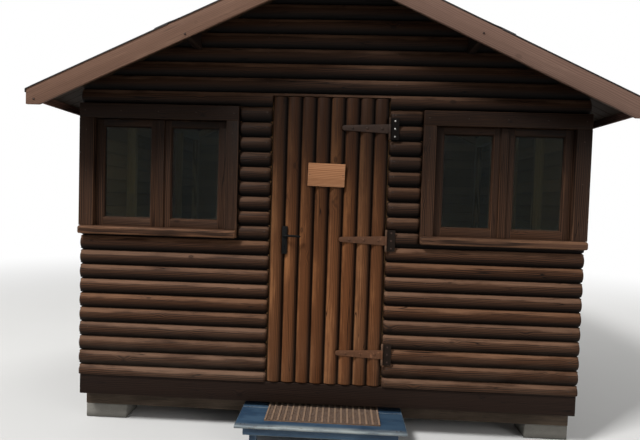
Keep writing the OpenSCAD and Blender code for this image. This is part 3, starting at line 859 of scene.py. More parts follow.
# The bearers are darker weathered wood, partly painted shade, as if in the shadow under the sill.
BEARER_WOOD_PAINTED_SHADE = Wood("weathered_bearers_painted_shade", screen(30, 24, 19), screen(54, 45, 37), screen(78, 67, 56), splash=0.2)
STRAP_PAINT = Iron("stained_straps", screen(88, 57, 37), screen(124, 84, 60), rubbed=0.45, gloss=0.6, painted_top_shade=0.16)
BLACK_IRON = Iron("black_lacquer", screen(9, 9, 9), screen(44, 36, 31), rubbed=0.15, gloss=0.6, shine=0.08)
LEAF_IRON = Iron("black_leaves", screen(30, 22, 17), screen(78, 59, 46), rubbed=0.3, gloss=0.6, painted_top_shade=0.2,
                 shine=0.06, pin=0.3975)
BRIGHT_STEEL = Iron("bright_screws", screen(150, 146, 142), screen(190, 185, 178), rubbed=0.4, gloss=0.4, metal=0.7,
                    shine=0.3)
RUSTY_NAIL = Iron("rusty_nails", screen(52, 37, 31), screen(76, 52, 40), rubbed=0.5, gloss=0.7)
DULL_NAIL = Iron("dull_nails", screen(54, 45, 41), screen(84, 64, 53), rubbed=0.5, gloss=0.6, metal=0.3)
CLOUT = Iron("galvanised_clouts", screen(104, 105, 105), screen(132, 122, 112), rubbed=0.3, gloss=0.5, metal=0.4)
CONCRETE = Concrete("cast_concrete", screen(128, 125, 118))
FELT = Felt("mineral_felt", screen(34, 33, 34), screen(80, 78, 79), laps=(0.1362, 0.2871, 1.1132))
GLASS = Glass("clear_glass", (0.62, 0.74, 0.67), screen(96, 84, 70), middle=1.1695, apart=0.2365,
              half=(0.169, 0.3215), height=1.7775)
STEP_PAINT = Paint("worn_blue_paint", screen(32, 52, 72), screen(54, 75, 94), screen(136, 142, 140),
                   screen(98, 84, 72), nose=-1.598, tread=0.1545)
MAT_FIBRE = Fibre("mat_fibre_pile", screen(56, 39, 30), screen(186, 152, 122), low=0.182, high=0.189)


# Ways of making meshes


def put(name: str, data: bpy.types.ID) -> Object:
    """Make an object of some data and put it in the scene."""
    made = bpy.data.objects.new(name, data)
    bpy.context.scene.collection.objects.link(made)
    return made


def finished(work: bmesh.types.BMesh, name: str) -> Mesh:
    """Turn a mesh in the making, which is used up, into a finished one."""
    made = bpy.data.meshes.new(name)
    work.to_mesh(made)
    work.free()
    return made


def ring_faces(first: int, second: int, count: int) -> list[tuple[int, ...]]:
    """Join two rings of points by a band of faces, from the number of each ring's first point."""
    return [(first + k, first + (k + 1) % count, second + (k + 1) % count, second + k) for k in range(count)]


def plain(base: Mesh, fit: Callable[[Object], None]) -> Mesh:
    """Run modifiers on a mesh, which is used up, and keep the plain result.

    Args:
        base: The mesh to start from.
        fit: Adds the modifiers to the object it is given.

    Returns:
        The new mesh.
    """
    holder = put("workpiece", base)
    fit(holder)
    graph = bpy.context.evaluated_depsgraph_get()
    made = bpy.data.meshes.new_from_object(holder.evaluated_get(graph), preserve_all_data_layers=True,
                                           depsgraph=graph)
    bpy.data.objects.remove(holder)
    bpy.data.meshes.remove(base)
    return made


class Tree:
    """A Geometry Nodes tree with named inputs, which ends in real geometry with a material."""

    def __init__(self, name: str, inputs: dict[str, tuple[str, object]]) -> None:
        """Start the tree.

        Args:
            name: Name of the tree.
            inputs: The kind and the usual value of each named input.
        """
        self.tree = bpy.data.node_groups.new(name, "GeometryNodeTree")
        face = self.tree.interface
        face.new_socket(name="Geometry", in_out="INPUT", socket_type="NodeSocketGeometry")
        face.new_socket(name="Geometry", in_out="OUTPUT", socket_type="NodeSocketGeometry")
        self.ids: dict[str, str] = {}
        for label, (kind, usual) in inputs.items():
            made = face.new_socket(name=label, in_out="INPUT", socket_type=f"NodeSocket{kind}")
            made.default_value = usual
            self.ids[label] = made.identifier
        made = face.new_socket(name="Material", in_out="INPUT", socket_type="NodeSocketMaterial")
        self.ids["Material"] = made.identifier
        self.graph = Graph(self.tree)
        self.given = self.graph.add("NodeGroupInput").outputs

    def end(self, geometry: Socket) -> None:
        """Turn instances into real geometry, give it the material and send it out."""
        real = self.graph.out("GeometryNodeRealizeInstances", {"Geometry": geometry})
        dressed = self.graph.add("GeometryNodeSetMaterial", {"Geometry": real, "Material": self.given["Material"]})
        self.graph.add("NodeGroupOutput", {"Geometry": dressed.outputs[0]})

    def grow(self, base: Mesh, finish: Finish, **values: float | int) -> Mesh:
        """Run the tree on a mesh, which is used up.

        Args:
            base: The mesh to start from.
            finish: Finish of the result.
            values: Values of the named inputs.

        Returns:
            The new mesh.
        """
        def fit(holder: Object) -> None:
            """Add the tree with its values."""
            step = holder.modifiers.new("grow", "NODES")
            step.node_group = self.tree
            for label, value in values.items():
                step[self.ids[label.capitalize()]] = value
            step[self.ids["Material"]] = finish.material()

        return plain(base, fit)


@cache
def board_tree() -> Tree:
    """Build the tree that makes a row of equal boards from one outline.

    The outline becomes a board along X with domed ends. Its visible face is at Y = 0 and it repeats along Z.

    Returns:
        The tree.
    """
    made = Tree("row_of_boards", {
        "Length": ("Float", 1.0), "Rings": ("Int", 16), "Count": ("Int", 1), "Pitch": ("Float", 0.1),
        "Round": ("Float", 0.01), "Face": ("Float", 0.024), "Drift": ("Float", 0.0005), "Slack": ("Float", 0.0003),
        "Dome": ("Float", 0.0), "Seed": ("Int", 1)})
    g, given = made.graph, made.given
    length, rings, curve = given["Length"], given["Rings"], given["Round"]

    # The rings of a board lie close together round its ends and evenly between them.
    index = g.out("GeometryNodeInputIndex")
    last = g.minus(rings, 1.0)
    turns = [g.times(g.math("MINIMUM", count, 3.0), math.pi / 6) for count in (index, g.minus(last, index))]
    eased = g.plus(g.minus(1.0, g.math("COSINE", turns[0])), g.math("COSINE", turns[1]))
    share = g.math("DIVIDE", g.minus(index, 3.0), g.minus(last, 6.0))
    share = g.math("MINIMUM", g.math("MAXIMUM", share, 0.0), 1.0)
    middle = g.times(share, g.minus(length, g.times(curve, 2.0)))
    along = g.plus(g.times(eased, curve), middle)
    line = g.out("GeometryNodeMeshLine", {"Count": rings, "Offset": (0.001, 0.0, 0.0)}, mode="OFFSET")
    rail = g.out("GeometryNodeSetPosition", {"Geometry": line, "Position": g.combine(along, 0.0, 0.0)})
    rail = g.out("GeometryNodeMeshToCurve", {0: rail})
    outline = g.out("GeometryNodeMeshToCurve", {0: given["Geometry"]})
    board = g.out("GeometryNodeCurveToMesh", {0: rail, "Profile Curve": outline, "Fill Caps": True})

    # Near an end the face curves back and the board narrows.
    x, y, z = g.split(g.out("GeometryNodeInputPosition"))
    near = g.math("MAXIMUM", g.minus(curve, g.math("MINIMUM", x, g.minus(length, x))), 0.0)
    square = g.minus(g.times(curve, curve), g.times(near, near))
    back = g.minus(curve, g.math("SQRT", g.math("MAXIMUM", square, 0.0)))
    back = g.times(back, g.minus(1.0, g.times(y, 18.0)))
    back = g.times(back, g.math("LESS_THAN", y, given["Face"]))
    nip = g.times(g.times(z, given["Dome"]), g.math("POWER", g.math("DIVIDE", near, curve), 2.0))
    board = g.out("GeometryNodeSetPosition", {"Geometry": board, "Offset": g.combine(0.0, back, nip)})

    # Each board of the row sits a little out of place and isn't quite straight.
    step = g.combine(0.0, 0.0, given["Pitch"])
    spots = g.out("GeometryNodeMeshLine", {"Count": given["Count"], "Offset": step}, mode="OFFSET")
    rows = g.out("GeometryNodeInstanceOnPoints", {"Points": spots, "Instance": board})
    shift = g.scaled(g.chance((-1.0, -1.0, -0.6), (1.0, 1.0, 0.6), given["Seed"]), given["Slack"])
    rows = g.out("GeometryNodeTranslateInstances", {0: rows, "Translation": shift})
    rows = g.out("GeometryNodeRealizeInstances", {"Geometry": rows})
    place = g.vector("MULTIPLY", g.out("GeometryNodeInputPosition"), (1.6, 1.0, 11.0))
    place = g.vector("ADD", place, g.combine(0.0, g.times(given["Seed"], 7.3), 0.0))
    swell = g.add("ShaderNodeTexNoise", {"Vector": place, "Scale": 1.0, "Detail": 1.0}).outputs["Color"]
    swell = g.vector("MULTIPLY", g.vector("SUBTRACT", swell, (0.5, 0.5, 0.5)), (0.0, 2.0, 1.2))
    rows = g.add("GeometryNodeSetPosition", {"Geometry": rows, "Offset": g.scaled(swell, given["Drift"])})
    made.end(rows.outputs[0])
    return made


@cache
def fastener_tree() -> Tree:
    """Build the tree that sets one head on every loose point, turned at random about the way it faces.

    Returns:
        The tree.
    """
    made = Tree("heads_on_points", {"Size": ("Float", 0.005), "Seed": ("Int", 1)})
    g, given = made.graph, made.given
    mark = g.out("GeometryNodeInputNamedAttribute", {"Name": "pattern"}, data_type="BOOLEAN")
    inputs = {"Geometry": given["Geometry"], "Selection": mark}
    parted = g.add("GeometryNodeSeparateGeometry", inputs, domain="POINT").outputs
    facing = g.out("GeometryNodeInputNamedAttribute", {"Name": "facing"}, data_type="FLOAT_VECTOR")
    turn = g.out("FunctionNodeAlignRotationToVector", {"Vector": facing}, axis="Z")
    angle = g.chance(0.0, math.tau, given["Seed"])
    spin = g.out("FunctionNodeAxisAngleToRotation", {"Axis": UP, "Angle": angle})
    turn = g.out("FunctionNodeRotateRotation", {0: turn, 1: spin}, rotation_space="LOCAL")
    inputs = {"Points": parted[1], "Instance": parted[0], "Rotation": turn, "Scale": given["Size"]}
    made.end(g.out("GeometryNodeInstanceOnPoints", inputs))
    return made


@cache
def pile_tree() -> Tree:
    """Build the tree that grows short tufts on the upper faces of a mat.

    Returns:
        The tree.
    """
    made = Tree("pile_on_mat", {
        "Density": ("Float", 20000.0), "Height": ("Float", 0.004), "Width": ("Float", 0.002), "Lean": ("Float", 0.35),
        "Seed": ("Int", 1)})
    g, given = made.graph, made.given
    up = g.math("GREATER_THAN", g.split(g.out("GeometryNodeInputNormal"))[2], 0.4)
    spread = g.add("GeometryNodeDistributePointsOnFaces", {
        "Mesh": given["Geometry"], "Selection": up, "Density": given["Density"], "Seed": given["Seed"]}).outputs
    inputs = {"Vertices": 4, "Radius Top": 0.0, "Radius Bottom": given["Width"], "Depth": given["Height"]}
    cone = g.out("GeometryNodeMeshCone", inputs, fill_type="NGON")
    lean = g.chance((-1.0, -1.0, 0.0), (1.0, 1.0, 0.0), given["Seed"])
    facing = g.vector("ADD", UP, g.scaled(lean, given["Lean"]))
    turn = g.out("FunctionNodeAlignRotationToVector", {"Vector": facing}, axis="Z")
    size = g.chance(0.55, 1.0, given["Seed"])
    inputs = {"Points": spread[0], "Instance": cone, "Rotation": turn, "Scale": size}
    tufts = g.out("GeometryNodeInstanceOnPoints", inputs)
    whole = g.add("GeometryNodeJoinGeometry")
    g.plug(whole.inputs[0], given["Geometry"])
    g.plug(whole.inputs[0], tufts)
    made.end(whole.outputs[0])
    return made


def loop_mesh(points: Iterable[Flat]) -> Mesh:
    """Make a closed outline of edges.

    Args:
        points: Depth from the visible face and place across the board, in order round the outline.

    Returns:
        The outline in the way that the board tree reads it.
    """
    spots = [(-depth, -across, 0.0) for depth, across in points]
    mesh = bpy.data.meshes.new("outline")
    mesh.from_pydata(spots, [(i, (i + 1) % len(spots)) for i in range(len(spots))], [])
    return mesh


class Stock:
    """A mesh in the making, which can be added to and sawn."""

    def __init__(self) -> None:
        """Start with nothing."""
        self.bm = bmesh.new()

    def take(self, mesh: Mesh, placed: Matrix | None = None) -> "Stock":
        """Add a mesh, which is used up.

        Args:
            mesh: The mesh to add.
            placed: Where it goes.

        Returns:
            This stock.
        """
        if placed:
            mesh.transform(placed)
        self.bm.from_mesh(mesh)
        bpy.data.meshes.remove(mesh)
        return self

    def saw(self, point: Point, normal: Point) -> "Stock":
        """Saw along a plane and drop what lies on the side that its normal points to.

        Args:
            point: A point of the plane.
            normal: The way towards the waste.

        Returns:
            This stock.
        """
        everything = [*self.bm.verts, *self.bm.edges, *self.bm.faces]
        bmesh.ops.bisect_plane(self.bm, geom=everything, dist=1e-6, plane_co=point, plane_no=normal, clear_outer=True)
        open_edges = [edge for edge in self.bm.edges if edge.is_boundary]
        if open_edges:
            bmesh.ops.holes_fill(self.bm, edges=open_edges, sides=0)
        return self

    def mesh(self) -> Mesh:
        """Give the finished mesh, with its faces outwards."""
        bmesh.ops.recalc_face_normals(self.bm, faces=self.bm.faces)
        return finished(self.bm, "stock")


def box_mesh(low: Point, high: Point) -> Mesh:
    """Make a box between two corners.

    Args:
        low: Lowest corner.
        high: Highest corner.

    Returns:
        The mesh.
    """
    work = bmesh.new()
    middle = (Vector(low) + Vector(high)) / 2
    span = Vector(high) - Vector(low)
    bmesh.ops.create_cube(work, size=1.0, matrix=Matrix.Translation(middle) @ Matrix.Diagonal((*span, 1.0)))
    return finished(work, "box")


def notched(mesh: Mesh, cutters: Iterable[Mesh]) -> Mesh:
    """Cut notches in a mesh, which is used up, as are the cutters.

    Args:
        mesh: The mesh to cut.
        cutters: Closed meshes of the waste.

    Returns:
        The mesh with its notches.
    """
    waste = [put("waste", cutter) for cutter in cutters]

    def fit(holder: Object) -> None:
        """Add a cut for each piece of waste."""
        for part in waste:
            cut = holder.modifiers.new("cut", "BOOLEAN")
            cut.operation, cut.solver, cut.object = "DIFFERENCE", "MANIFOLD", part

    made = plain(mesh, fit)
    for part in waste:
        left = part.data
        bpy.data.objects.remove(part)
        bpy.data.meshes.remove(left)
    return made


def islands(mesh: Mesh) -> np.ndarray:
    """Number the loose parts of a mesh.

    Args:
        mesh: The mesh.

    Returns:
        For each vertex, the number of its part.
    """
    ends = np.empty(len(mesh.edges) * 2, np.int32)
    mesh.edges.foreach_get("vertices", ends)
    one, two = ends.reshape(-1, 2).T
    label = np.arange(len(mesh.vertices))
    while True:
        low = np.minimum(label[one], label[two])
        fresh = label.copy()
        np.minimum.at(fresh, one, low)
        np.minimum.at(fresh, two, low)
        fresh = fresh[fresh]
        if (fresh == label).all():
            return np.unique(label, return_inverse=True)[1]
        label = fresh


def mark_grain(mesh: Mesh, seed: str) -> None:
    """Give each board of a mesh its own grain, along its length, and its own tone.

    Args:
        mesh: The mesh, where each loose part is one board.
        seed: Name that the chance comes from.
    """
    label = islands(mesh)
    place = np.empty(len(mesh.vertices) * 3)
    mesh.vertices.foreach_get("co", place)
    place = place.reshape(-1, 3)
    chance = np.random.default_rng(zlib.crc32(seed.encode()))
    grain = np.zeros_like(place)
    tone = np.zeros(len(place))
    for board in range(label.max() + 1):
        own = label == board
        apart = place[own] - place[own].mean(0)
        axes = np.linalg.eigh(apart.T @ apart)[1][:, ::-1]
        grain[own] = apart @ axes + chance.uniform(-8.0, 8.0, 3)
        tone[own] = chance.uniform()
    made = mesh.attributes.new("grain", "FLOAT_VECTOR", "POINT")
    made.data.foreach_set("vector", grain.astype(np.float32).ravel())
    made = mesh.attributes.new("tone", "FLOAT", "POINT")
    made.data.foreach_set("value", tone.astype(np.float32))


def install(mesh: Mesh, name: str, finish: Finish, node: str, stands_for: bool = True,
            crease: float | None = 32.0) -> None:
    """Make a finished piece of a mesh.

    Args:
        mesh: The mesh, in place.
        name: Name of the piece.
        finish: Its finish.
        node: The CAD node whose body it shares.
        stands_for: Whether it replaces that node.
        crease: Angle in degrees from which an edge stays sharp, or None to leave the shading as it is.
    """
    mesh.name = name
    piece = put(name, mesh)
    finish.dress(piece)
    if isinstance(finish, (Wood, Paint, Felt)):
        mark_grain(mesh, name)
    if crease is not None:
        mesh.polygons.foreach_set("use_smooth", [True] * len(mesh.polygons))
        mesh.set_sharp_from_angle(angle=math.radians(crease))
    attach(piece, BODY_OF[node])
    if stands_for:
        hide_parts(node)
    LOG.info("%s: %d faces", name, len(mesh.polygons))


def node_mesh(node: str) -> Mesh:
    """Copy the mesh of a CAD node, merged into clean solids.

    Args:
        node: Name of the node.

    Returns:
        The copy.
    """
    work = bmesh.new()
    work.from_mesh(frame["nodes"][node].data)
    bmesh.ops.remove_doubles(work, verts=work.verts, dist=2e-5)
    bmesh.ops.dissolve_limit(work, angle_limit=math.radians(0.5), verts=work.verts, edges=work.edges)
    return finished(work, node)


def eased(node: str, finish: Finish, width: float = 0.002, steps: int = 2) -> None:
    """Stand in for a CAD node with the same solids, their edges eased as by a plane or a file.

    Args:
        node: Name of the node.
        finish: Finish of the piece.
        width: Width of the eased edges.
        steps: Faces across an eased edge.
    """
    mesh = node_mesh(node)
    mesh.polygons.foreach_set("use_smooth", [True] * len(mesh.polygons))
    for _ in range(2):
        mesh.materials.append(finish.material())

    def fit(holder: Object) -> None:
        """Add the bevel, whose faces take the second material slot."""
        ease = holder.modifiers.new("ease", "BEVEL")
        ease.width = width
        ease.segments = steps
        ease.limit_method = "ANGLE"
        ease.angle_limit = math.radians(38)
        ease.harden_normals = True
        ease.material = 1

    mesh = plain(mesh, fit)
    worn = [float(face.material_index) for face in mesh.polygons]
    mesh.attributes.new("edge", "FLOAT", "FACE").data.foreach_set("value", worn)
    mesh.polygons.foreach_set("material_index", [0] * len(worn))
    install(mesh, f"eased_{node}", finish, node, crease=None)


class Head(Enum):
    """Kind of a fastener's head, as rings of radius and height, and whether it has a cross recess."""

    NAIL = (((1.0, -0.3), (1.0, 0.12), (0.75, 0.3)), False)
    BOLT = (((1.0, -0.3), (1.0, 0.08), (0.86, 0.4), (0.5, 0.6)), False)
    SCREW = (((1.0, -0.3), (1.0, 0.02), (0.82, 0.22), (0.66, 0.28)), True)

    def pattern(self) -> tuple[list[Point], list[tuple[int, ...]]]:
        """Turn the head, one unit in radius, on the axis of Z.

        Returns:
            Its points and faces.
        """
        rings, recess = self.value
        sides = 16 if recess else 10
        shapes = [([radius] * sides, height) for radius, height in rings]
        if recess:
            star = [0.5 if k % 4 == 0 else 0.17 for k in range(sides)]
            shapes += [(star, 0.28), (star, 0.02)]
        points = [(radii[k] * math.cos(math.tau * k / sides), radii[k] * math.sin(math.tau * k / sides), height)
                  for radii, height in shapes for k in range(sides)]
        last = (len(shapes) - 1) * sides
        faces = [face for first in range(0, last, sides) for face in ring_faces(first, first + sides, sides)]
        return points, [*faces, tuple(reversed(range(sides))), tuple(range(last, last + sides))]


def fasteners(name: str, head: Head, size: float, spots: list[Spot], finish: Finish, node: str) -> None:
    """Set heads on points.

    Args:
        name: Name of the piece.
        head: Kind of the heads.
        size: Radius of a head.
        spots: Place of each head and the way it faces.
        finish: Their finish.
        node: The CAD node whose body they share.
    """
    points, faces = head.pattern()
    mesh = bpy.data.meshes.new(name)
    mesh.from_pydata([*points, *(spot for spot, _ in spots)], [], faces)
    mark = mesh.attributes.new("pattern", "BOOLEAN", "POINT")
    mark.data.foreach_set("value", [True] * len(points) + [False] * len(spots))
    facing = mesh.attributes.new("facing", "FLOAT_VECTOR", "POINT")
    ways = [UP] * len(points) + [way for _, way in spots]
    facing.data.foreach_set("vector", [part for way in ways for part in way])
    made = fastener_tree().grow(mesh, finish, size=size, seed=zlib.crc32(name.encode()) % 1000)
    install(made, name, finish, node, stands_for=False, crease=40.0)


# The hut


@dataclass(frozen=True)
class Hut:
    """Sizes that the sub-assemblies share, in metres.

    Attributes:
        half: Half the width across the front.
        depth: Half the depth, front wall to middle.
        base: Height of the base.
        eave: Height of the roof surface over the base, at the outside of a side wall.
        pitch: Slope of the roof in radians.
        overhang: Distance from the middle to the outside of the eaves.
        verge: Distance from the middle to the outside of the barge boards.
        deck: Distance from the middle to the ends of the roof deck.
        board: Thickness of the roof deck.
        cladding: Thickness of the log boards.
        purlin: Distance from the middle to a purlin.
        timber: Half the thickness of the ridge beam and of a purlin.
        ridge_beam: Height of the ridge beam.
        purlin_beam: Height of a purlin.
    """

    half: float = 1.730
    depth: float = 1.300
    base: float = 0.352
    eave: float = 2.019
    pitch: float = math.radians(24.8)
    overhang: float = 1.939
    verge: float = 1.580
    deck: float = 1.560
    board: float = 0.020
    cladding: float = 0.038
    purlin: float = 0.921
    timber: float = 0.0225
    ridge_beam: float = 0.140
    purlin_beam: float = 0.095

    def roof(self, x: float) -> float:
        """Height of the roof surface at a distance from the middle."""
        return self.base + self.eave + math.tan(self.pitch) * (self.half - abs(x))

    def under(self, x: float) -> float:
        """Height of the underside of the deck at a distance from the middle."""
        return self.roof(x) - self.board / math.cos(self.pitch)

    def slope(self, side: int) -> tuple[Point, Point]:
        """Way down a roof slope and way straight out of it, on the right for 1 and on the left for -1."""
        run, fall = math.cos(self.pitch), math.sin(self.pitch)
        return (side * run, 0.0, -fall), (side * fall, 0.0, run)


HUT = Hut()


def half_round(cover: float, radius: float = 0.060, joint: float = 0.005, back: float = 0.038,
               steps: int = 14) -> list[Flat]:
    """Draw the outline of a half-round board with a tongue and a groove.

    Args:
        cover: What one board covers.
        radius: Radius of the face.
        joint: Width of the open joint.
        back: Thickness at the crest.
        steps: Faces round the face.

    Returns:
        Depth from the crest and place across, in order.
    """
    half = (cover - joint) / 2
    reach = math.asin(half / radius)
    turns = [reach * (2 * k / steps - 1) for k in range(steps + 1)]
    face = [(radius - radius * math.cos(turn), radius * math.sin(turn)) for turn in turns]
    top, slack, tip, pit = cover / 2, 0.0002, 0.005, 0.0065
    tongue = [(0.0312, half), (0.0312, top + tip), (0.0348, top + tip), (0.0348, top - slack), (back, top - slack)]
    groove = [(back, slack - top), (0.036, slack - top), (0.036, pit - top), (0.030, pit - top), (0.030, -half)]
    return face + tongue + groove


def flat_board(cover: float, thick: float, chamfer: float = 0.0025) -> list[Flat]:
    """Draw the outline of a flat board with chamfered edges, a tongue and a groove.

    Args:
        cover: What one board covers.
        thick: Its thickness.
        chamfer: Width of the chamfers beside the visible face.

    Returns:
        Depth from the visible face and place across, in order.
    """
    slack, tip, pit = 0.0004, 0.005, 0.006
    top, middle = cover / 2 - slack, thick / 2
    tongue_low, tongue_high, groove_low, groove_high = middle - 0.002, middle + 0.002, middle - 0.003, middle + 0.003
    face = [(0.0, chamfer - top), (0.0, top - chamfer), (chamfer, top)]
    tongue = [(tongue_low, top), (tongue_low, top + tip), (tongue_high, top + tip), (tongue_high, top)]
    groove = [(groove_high, -top), (groove_high, pit - top), (groove_low, pit - top), (groove_low, -top)]
    return [*face, *tongue, (thick, top), (thick, -top), *groove, (chamfer, -top)]


def basis(origin: Point, along: Point, depth: Point) -> Matrix:
    """Make the matrix that lays a row of boards in place.

    Args:
        origin: Start of the middle of the first board's visible face.
        along: Way of the boards' length.
        depth: Way from the visible face into the board.

    Returns:
        The matrix.
    """
    one, two = Vector(along), Vector(depth)
    turn = Matrix((one, two, one.cross(two))).transposed()
    return Matrix.Translation(origin) @ turn.to_4x4()


@dataclass(frozen=True)
class Boards:
    """A row of equal boards.

    Attributes:
        outline: Outline of a board.
        length: Length of the boards.
        count: How many there are.
        pitch: What one board covers.
        rounded: Radius of the rounded-over ends.
        drift: How far a board strays from straight.
        slack: How far a board sits from its place.
        seed: Seed of the chance.
        dome: Share of the height that the ends lose in the rounding.
    """

    outline: list[Flat]
    length: float
    count: int
    pitch: float
    rounded: float = 0.010
    drift: float = 0.0010
    slack: float = 0.0005
    seed: int = 1
    dome: float = 0.0

    def grow(self, finish: Finish) -> Mesh:
        """Make the row at the origin, in a finish."""
        rings = 8 + round(self.length / 0.16)
        return board_tree().grow(loop_mesh(self.outline), finish, length=self.length, rings=rings, count=self.count,
                                 pitch=self.pitch, round=self.rounded, drift=self.drift, slack=self.slack,
                                 dome=-self.dome, seed=self.seed)


@dataclass
class Base:
    """Blocks, bearers, sills, joists and floor.

    Attributes:
        floor_x: Half the width of the floor.
        floor_y: Half its depth.
        floor_t: Thickness of the floor boards.
        floor_boards: How many floor boards there are.
        joists: How many joists there are under them.
        joist_inset: Distance from the end of the floor to the middle of the first joist.
        block: Height of the foundation blocks.
    """

    floor_x: float = 1.622
    floor_y: float = 1.192
    floor_t: float = 0.020
    floor_boards: int = 25
    joists: int = 8
    joist_inset: float = 0.0225
    block: float = 0.100

    def build(self) -> None:
        """Build the base from the ground up."""
        self.blocks()
        eased("floor_bearers", BEARER_WOOD_PAINTED_SHADE, 0.004)
        eased("base_sills", PAINTED_SHADE_SILL, 0.004)
        eased("floor_joists", FRAME_WOOD)
        self.floor()

    def blocks(self) -> None:
        """Cast the blocks, with rounded edges and a rough skin."""
        edge, skin_in, skin_out = 0.002, -0.0016, 0.0004

        def fit(holder: Object) -> None:
            """Add the rounded edges."""
            ease = holder.modifiers.new("ease", "BEVEL")
            ease.width, ease.segments = 0.009, 3

        work = bmesh.new()
        work.from_mesh(plain(node_mesh("foundation_blocks"), fit))
        wide = [e for e in work.edges if e.calc_length() > 0.05]
        bmesh.ops.subdivide_edges(work, edges=wide, cuts=7, use_grid_fill=True)
        chance = np.random.default_rng(11)
        work.normal_update()
        for vert in work.verts:
            if edge < vert.co.z < self.block - edge:
                vert.co += vert.normal * float(chance.uniform(skin_in, skin_out))
        install(finished(work, "blocks"), "cast_blocks", CONCRETE, "foundation_blocks", crease=60.0)

    def floor(self) -> None:
        """Lay the floor boards across the joists and nail them."""
        pitch, gap = 2 * self.floor_y / self.floor_boards, 0.001
        row = Boards(flat_board(pitch, self.floor_t), 2 * self.floor_x - 2 * gap, self.floor_boards, pitch,
                     rounded=0.001, drift=0.0004, slack=0.0003, seed=5)
        placed = basis((gap - self.floor_x, pitch / 2 - self.floor_y, HUT.base), (1, 0, 0), (0, 0, -1))
        stock = Stock().take(row.grow(FLOOR_WOOD), placed).saw((0, self.floor_y, 0), (0, 1, 0))
        install(stock.mesh(), "floor_row", FLOOR_WOOD, "floor_boards")
        edge, pair = self.floor_x - self.joist_inset, (-0.28, 0.28)
        spots = [((x, pitch * (k + 0.5 + off) - self.floor_y, HUT.base), UP)
                 for x in np.linspace(-edge, edge, self.joists) for k in range(self.floor_boards) for off in pair]
        fasteners("floor_nails", Head.NAIL, 0.0032, spots, DULL_NAIL, "floor_boards")


